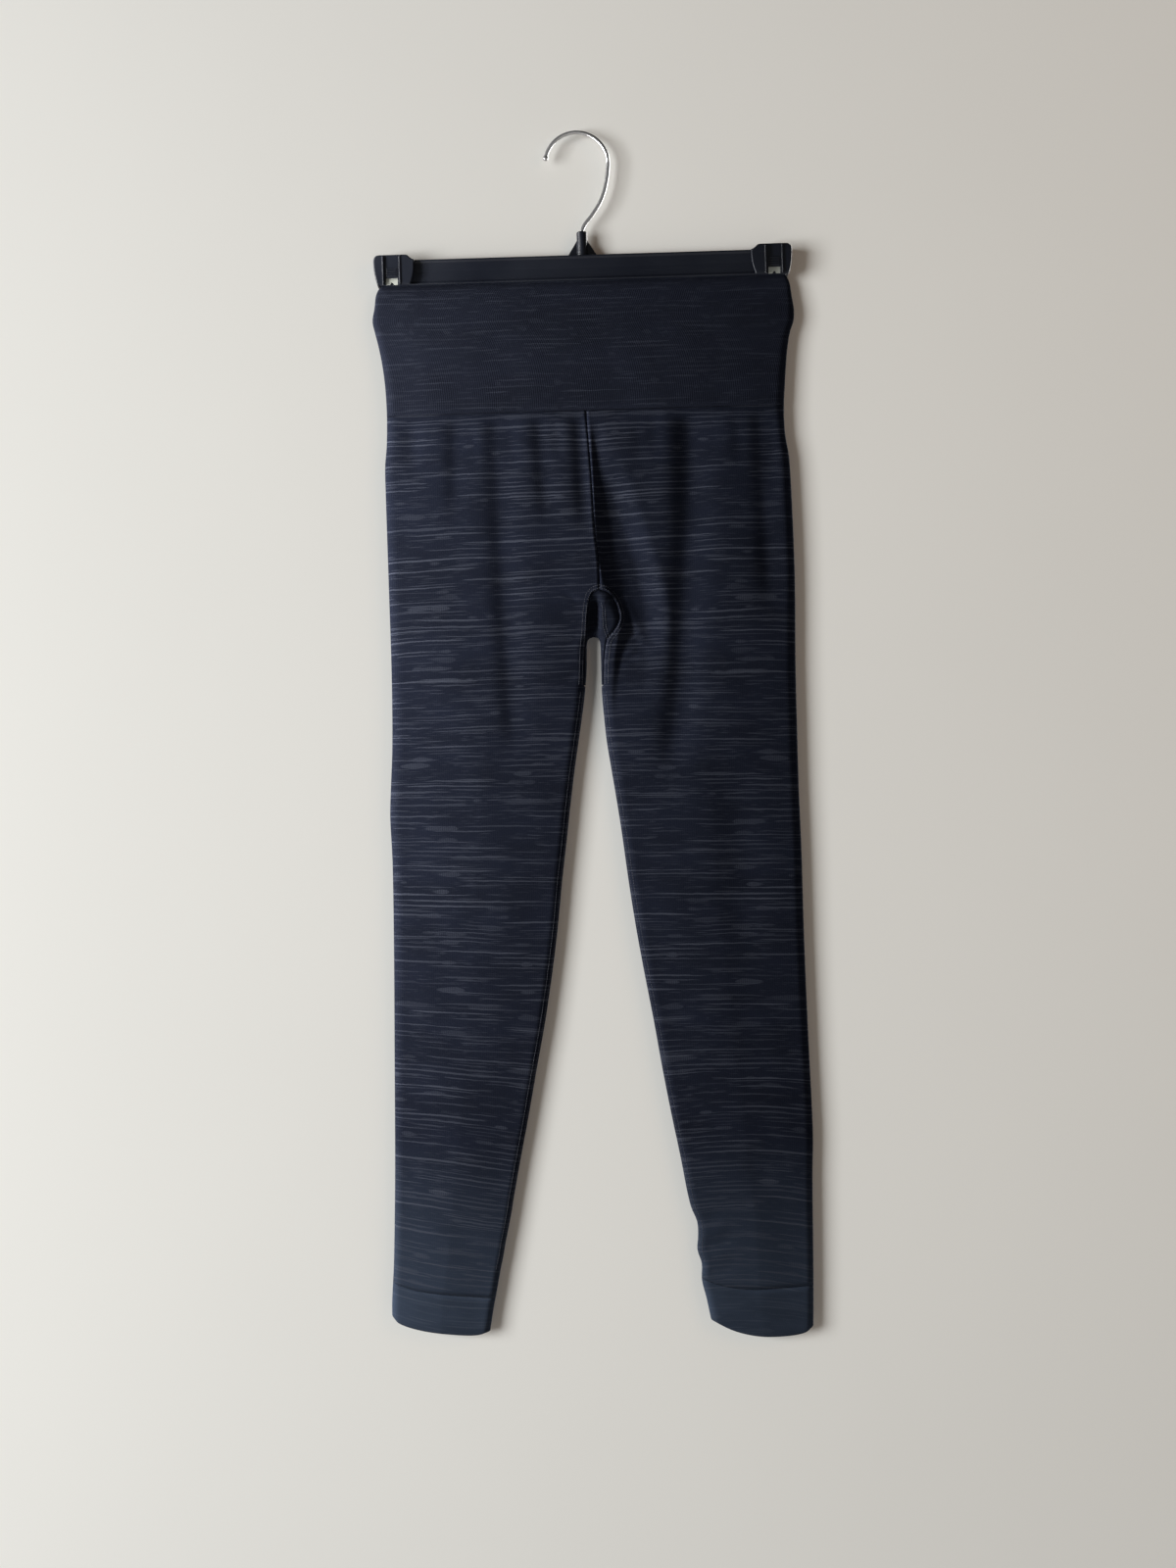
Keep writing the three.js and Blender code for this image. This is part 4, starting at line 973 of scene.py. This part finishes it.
def dashes(tree, across, along, kind, dense):
    """Tapered dashes that lie along rows of the knit, as a mask from 0 to its weight."""
    pitch, reach, cover, taper, seed, soft, down, weight = DASHES[kind]
    level = tree.math("DIVIDE", tree.math("ADD", along, down), pitch)
    row = tree.math("FLOOR", level)
    lift = tree.node("TexWhiteNoise", {"W": tree.math("ADD", row, seed)}, noise_dimensions="1D")
    middle = tree.between(lift.outputs[0], 0.0, 1.0, -1.45, -0.55)
    off = tree.times(tree.math("FRACT", level), 2.0, middle)
    spot = tree.join(tree.math("DIVIDE", across, reach), tree.times(row, 3.713, seed))
    found = tree.math("ADD", tree.noise(spot, 1.0, 2.0, 0.45), dense)
    thin = tree.times(tree.times(off, off), taper)
    mask = tree.between(tree.math("SUBTRACT", found, thin), cover, cover + soft)
    shade = tree.node("TexWhiteNoise", {"W": tree.times(row, 1.7, seed)}, noise_dimensions="1D")
    return tree.times(mask, tree.between(shade.outputs[0], 0.0, 1.0, 0.45 * weight, weight))


def knit(name, base, pale, strength, rib=0.0, shorten=1.0, ankle=None):
    """Fine knit with pale dashes along its courses and soft wales and courses in relief."""
    tree = Tree(name)
    place = tree.node("UVMap", uv_map="Cloth").outputs[0]
    parts = tree.node("SeparateXYZ", {0: place}).outputs
    across, height = (tree.times(part, 1000.0) for part in parts[:2])

    def cloud(wide, high, detail=1.0, rough=0.5):
        spot = tree.join(tree.math("DIVIDE", across, wide), tree.math("DIVIDE", height, high))
        return tree.noise(spot, 1.0, detail, rough)

    def waves(value, length):
        return tree.math("SINE", tree.times(value, 2 * math.pi / length))

    along = tree.times(cloud(110.0, 70.0), 5.0, height)
    along = tree.times(cloud(12.0, 6.0), 0.8, along)
    dense = tree.between(height, *ANKLE_STREAKS["from_to"], 0.0, ANKLE_STREAKS["more"])
    way = tree.times(across, shorten)
    long, short, fine, patch = (dashes(tree, way, along, kind, dense) for kind in DASHES)
    wales, courses = waves(across, WALE), waves(along, COURSE)
    lace = tree.between(tree.math("ADD", wales, courses), -1.2, 1.4, 0.25, 0.8)
    streak = long
    for other in (short, fine, tree.times(patch, lace)):
        streak = tree.math("MAXIMUM", streak, other)
    grain = cloud(1.3, 0.8, 2.0, 0.7)
    streak = tree.times(streak, tree.between(grain, 0.3, 0.7, 0.7 * strength, strength))
    dark = tuple(c * 0.75 for c in base[:3]) + (1,)
    ground = tree.mix(tree.between(cloud(60.0, 30.0, 3.0), 0.3, 0.7), dark, base)
    if ankle:
        ground = tree.mix(tree.between(height, *ANKLE_STREAKS["from_to"]), ground, ankle)
    ground = tree.mix(tree.between(grain, 0.35, 0.7, 0.0, 0.08), ground, pale)
    ground = tree.mix(tree.between(wales, -1.0, 1.0, 0.0, 0.05), ground, pale)
    colour = tree.mix(streak, ground, pale)
    relief = tree.times(tree.times(wales, courses), 0.2, tree.times(streak, 0.6))
    if rib:
        ribs = waves(across, rib)
        relief = tree.times(ribs, 0.5, relief)
        colour = tree.mix(tree.between(ribs, -1.0, 1.0, 0.0, 0.14), colour, pale)
    relief = tree.times(grain, 0.5, relief)
    return tree.finish(
        Base_Color=colour, Roughness=0.95, Normal=tree.bump(relief, 0.00015, 0.7), Sheen_Weight=0.02,
        Sheen_Roughness=0.5, Sheen_Tint=(0.75, 0.82, 1.0, 1), Specular_IOR_Level=0.05,
    )


THREAD_TONES = (0.022, 0.026, 0.040, 1), (0.058, 0.064, 0.088, 1)
PLASTIC_TONES = (0.0036, 0.0056, 0.0125, 1), (0.0062, 0.0090, 0.0175, 1)
SCRATCH = (0.06, 0.065, 0.075, 1)


def thread():
    tree = Tree("stitch_thread")
    place = tree.node("TexCoord").outputs["Object"]
    twist = tree.noise(place, 2600.0, 2.0, 0.6, flat=False)
    colour = tree.mix(tree.between(twist, 0.3, 0.7), *THREAD_TONES)
    return tree.finish(Base_Color=colour, Roughness=0.7, Normal=tree.bump(twist, 0.0001), Sheen_Weight=0.1)


def plastic():
    """Dark moulded plastic with softly rounded edges and a few fine scratches."""
    tree = Tree("hanger_plastic")
    place = tree.node("TexCoord").outputs["Object"]
    cloud = tree.noise(place, 14.0, 3.0, flat=False)
    grain = tree.noise(place, 900.0, 2.0, 0.6, flat=False)
    colour = tree.mix(tree.between(cloud, 0.3, 0.7), *PLASTIC_TONES)
    rough = tree.between(tree.times(grain, 0.4, cloud), 0.45, 0.95, 0.34, 0.5)
    stretched = tree.node("Mapping", {"Vector": place, "Scale": (18, 60, 1100)}).outputs[0]
    lines = tree.noise(stretched, 1.0, 2.0, 0.7, flat=False)
    scratch = tree.between(lines, 0.68, 0.75)
    colour = tree.mix(tree.times(scratch, 0.25), colour, SCRATCH)
    soft_edges = tree.node("Bevel", {"Radius": 0.0007}, samples=6).outputs[0]
    normal = tree.bump(grain, 0.00005, 0.5, under=soft_edges)
    return tree.finish(Base_Color=colour, Roughness=rough, Normal=normal, IOR=1.5)


def metal(name, base, dark, rough, metallic):
    tree = Tree(name)
    place = tree.node("TexCoord").outputs["Object"]
    cloud = tree.noise(place, 60.0, 4.0, 0.6, flat=False)
    fine = tree.noise(place, 1500.0, 2.0, 0.5, flat=False)
    colour = tree.mix(tree.between(cloud, 0.35, 0.75), base, dark)
    shine = tree.between(cloud, 0.3, 0.8, rough * 0.7, rough * 1.6)
    return tree.finish(
        Base_Color=colour, Metallic=metallic, Roughness=shine, Normal=tree.bump(fine, 0.00002, 0.3),
    )


def dress_node(name, material):
    """Gives a CAD node that keeps its shape its finished material."""
    obj = next(o for o in scene.objects if o.get("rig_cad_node") and o.name == name)
    obj.data.materials.clear()
    obj.data.materials.append(material)


# The leggings

ANKLE_TONE = (0.028, 0.039, 0.062, 1)
LEG_KNIT = knit(
    "streaked_knit", (0.0080, 0.0106, 0.0215, 1), (0.070, 0.078, 0.105, 1), 0.84, ankle=ANKLE_TONE,
)
BAND_KNIT = knit(
    "waistband_rib", (0.0086, 0.0106, 0.0200, 1), (0.044, 0.050, 0.070, 1), 0.5, rib=1.8, shorten=2.2,
)
GUSSET_KNIT = knit("gusset_knit", (0.0065, 0.0085, 0.0165, 1), (0.040, 0.046, 0.064, 1), 0.35)
CUFF_KNIT = knit("cuff_knit", (0.037, 0.051, 0.080, 1), (0.082, 0.098, 0.132, 1), 0.5)

# For each cloth node: its shell, its material and slot, and the width, length and area of its cut
SHELLS = {
    "waistband": (waistband, (), BAND_KNIT, "ribbed_band", (0.355 * 2, 0.1255), None),
    "right_leg": (leg_panel, ("right",), LEG_KNIT, "knit", (0.362, 0.756), 0.217),
    "left_leg": (leg_panel, ("left",), LEG_KNIT, "knit", (0.362, 0.756), 0.217),
    "gusset": (gusset, (), GUSSET_KNIT, "knit", (0.040, 0.13), 0.0032),
    "right_cuff": (cuff, ("right",), CUFF_KNIT, "hem", (0.184, 0.031), None),
    "left_cuff": (cuff, ("left",), CUFF_KNIT, "hem", (0.196, 0.037), None),
}

for node, (build, words, material, slot, flat, area) in SHELLS.items():
    shell = build(*words)
    obj = add_piece(f"{node}_cloth", shell.mesh(f"{node}_cloth"), material, (node,))

THREAD = thread()
add_piece("gusset_stitching", gusset_stitching(), THREAD)
add_piece("right_inseam_stitching", inseam_stitching("right"), THREAD)
add_piece("left_inseam_stitching", inseam_stitching("left"), THREAD)

# The hanger

CHROME = metal("hook_chrome", (0.80, 0.80, 0.81, 1), (0.50, 0.51, 0.53, 1), 0.18, metallic=0.8)
STEEL = metal("spring_steel", (0.78, 0.81, 0.74, 1), (0.50, 0.53, 0.48, 1), 0.4, metallic=0.5)
PLASTIC = plastic()
add_piece("hook_wire", hook(), CHROME, ("hanger_hook",))
for node in ("hanger_front_bar", "hanger_back_bar", "right_clip", "left_clip"):
    dress_node(node, PLASTIC)
for node in ("right_spring", "left_spring"):
    dress_node(node, STEEL)

# The stage: a plain wall close behind, seen from its front only, and a floor below the view


def plain(name, colour, one_sided=False, glow=0.0):
    tree = Tree(name)
    place = tree.node("TexCoord").outputs["Object"]
    cloud = tree.noise(place, 3.0, 3.0, flat=False)
    darker = tuple(c * 0.96 for c in colour[:3]) + (1,)
    painted = tree.mix(cloud, darker, colour)
    tree.finish(Base_Color=painted, Roughness=0.95, Emission_Color=colour, Emission_Strength=glow)
    if one_sided:
        clear = tree.node("BsdfTransparent").outputs[0]
        behind = tree.node("NewGeometry").outputs["Backfacing"]
        both = tree.node("MixShader", {0: behind, 1: tree.surface.outputs[0], 2: clear}).outputs[0]
        tree.links.new(both, tree.nodes["Material Output"].inputs[0])
    return tree.material


def backdrop(name, points, faces, material):
    mesh = bpy.data.meshes.new(name)
    mesh.from_pydata(points, [], faces)
    mesh.materials.append(material)
    obj = bpy.data.objects.new(name, mesh)
    scene.collection.objects.link(obj)
    return obj


WALL_Y = 0.0112
FLOOR_Z = -1.3
wall = backdrop(
    "stage_wall",
    [(-2, WALL_Y, FLOOR_Z), (2, WALL_Y, FLOOR_Z), (2, WALL_Y, 0.8), (-2, WALL_Y, 0.8)],
    [(0, 1, 2, 3)],
    plain("wall_paint", (0.82, 0.82, 0.79, 1), one_sided=True),
)
backdrop(
    "stage_floor",
    [(-6, -6, FLOOR_Z), (6, -6, FLOOR_Z), (6, 6, FLOOR_Z), (-6, 6, FLOOR_Z)],
    [(0, 1, 2, 3)],
    plain("floor_paint", (0.80, 0.76, 0.71, 1), glow=0.36),
)
# A pale room far round the object, seen in the other views only
ROOM = {"radius": 5.5, "height": 6.0, "sides": 48}
corners = [
    (ROOM["radius"] * math.cos(a), ROOM["radius"] * math.sin(a), FLOOR_Z + rise)
    for rise in (0, ROOM["height"]) for a in np.arange(ROOM["sides"]) * 2 * math.pi / ROOM["sides"]
]
panels = [
    ((k + 1) % ROOM["sides"], k, ROOM["sides"] + k, ROOM["sides"] + (k + 1) % ROOM["sides"])
    for k in range(ROOM["sides"])
]
room = backdrop("stage_room", corners, panels, plain("room_paint", (0.60, 0.60, 0.58, 1), glow=0.8))
for obj in (wall, room):
    obj.visible_diffuse = False
    obj.visible_glossy = False
    obj.visible_shadow = False


def area_light(name, place, target, size, power, colour, lit):
    """A soft light for some of the objects, the others kept in its shade as by a flag."""
    light = bpy.data.lights.new(name, "AREA")
    light.shape = "RECTANGLE"
    light.size, light.size_y = size
    light.energy = power
    light.color = colour
    obj = bpy.data.objects.new(name, light)
    obj.location = place
    obj.rotation_euler = (Vector(target) - Vector(place)).to_track_quat("-Z", "Y").to_euler()
    scene.collection.objects.link(obj)
    receivers = bpy.data.collections.new(name + "_receivers")
    for receiver in lit:
        receivers.objects.link(receiver)
    obj.light_linking.receiver_collection = receivers


PIECES = [
    o for o in scene.objects if o.type == "MESH" and not o.name.startswith("stage_")
]
# Each light: its place, what it aims at, its size in metres, its watts and its colour
CLOTH_LIGHTS = {
    "near_window": ((-0.46, -0.14, -0.42), (0, 0, -0.46), (0.08, 1.1), 6.9, (1.0, 0.985, 0.97)),
    "far_window": ((-2.4, -0.62, -0.45), (0, 0, -0.6), (0.3, 1.5), 40, (0.96, 0.985, 1.0)),
    "front_fill": ((0.2, -2.2, 0.3), (0, 0, -0.55), (1.8, 1.8), 0.65, (0.90, 0.95, 1.0)),
    "right_fill": ((1.5, -0.8, -0.4), (0, 0, -0.55), (0.8, 1.4), 0.5, (0.9, 0.95, 1.0)),
    "back_fill": ((1.2, 1.5, 0.2), (0, 0, -0.55), (1.4, 1.4), 52, (1.0, 0.99, 0.97)),
}
WALL_LIGHTS = {
    "wall_window": ((-2.4, -2.2, -0.5), (0.1, 0, -0.6), (1.7, 1.6), 104, (0.99, 1.0, 1.0)),
    "wall_fill": ((1.6, -1.8, 0.2), (0.1, 0, -0.5), (1.2, 1.2), 4.6, (1.0, 0.62, 0.34)),
}
for name, light in CLOTH_LIGHTS.items():
    area_light(name, *light, PIECES)
for name, light in WALL_LIGHTS.items():
    area_light(name, *light, [wall])

world = bpy.data.worlds.new("soft_room")
world.use_nodes = True
world.node_tree.nodes["Background"].inputs[0].default_value = (1.0, 0.92, 0.85, 1)
world.node_tree.nodes["Background"].inputs[1].default_value = 0.04
scene.world = world
scene.view_settings.view_transform = "Standard"

# The camera at the photograph's angle, with its slight roll

ROLL = math.radians(1.75)
CAMERA_PLACE = (-0.0086, -1.679, -0.5566)
SENSOR_WIDTH, LENS = 36, 45
lens = bpy.data.cameras.new("camera")
lens.sensor_width = SENSOR_WIDTH
lens.lens = LENS
camera = bpy.data.objects.new("camera", lens)
right_hand = Vector((math.cos(ROLL), 0, -math.sin(ROLL)))
up = Vector((math.sin(ROLL), 0, math.cos(ROLL)))
turned = Matrix((right_hand, up, (0, -1, 0))).transposed().to_4x4()
camera.matrix_world = Matrix.Translation(CAMERA_PLACE) @ turned
scene.collection.objects.link(camera)
scene.camera = camera
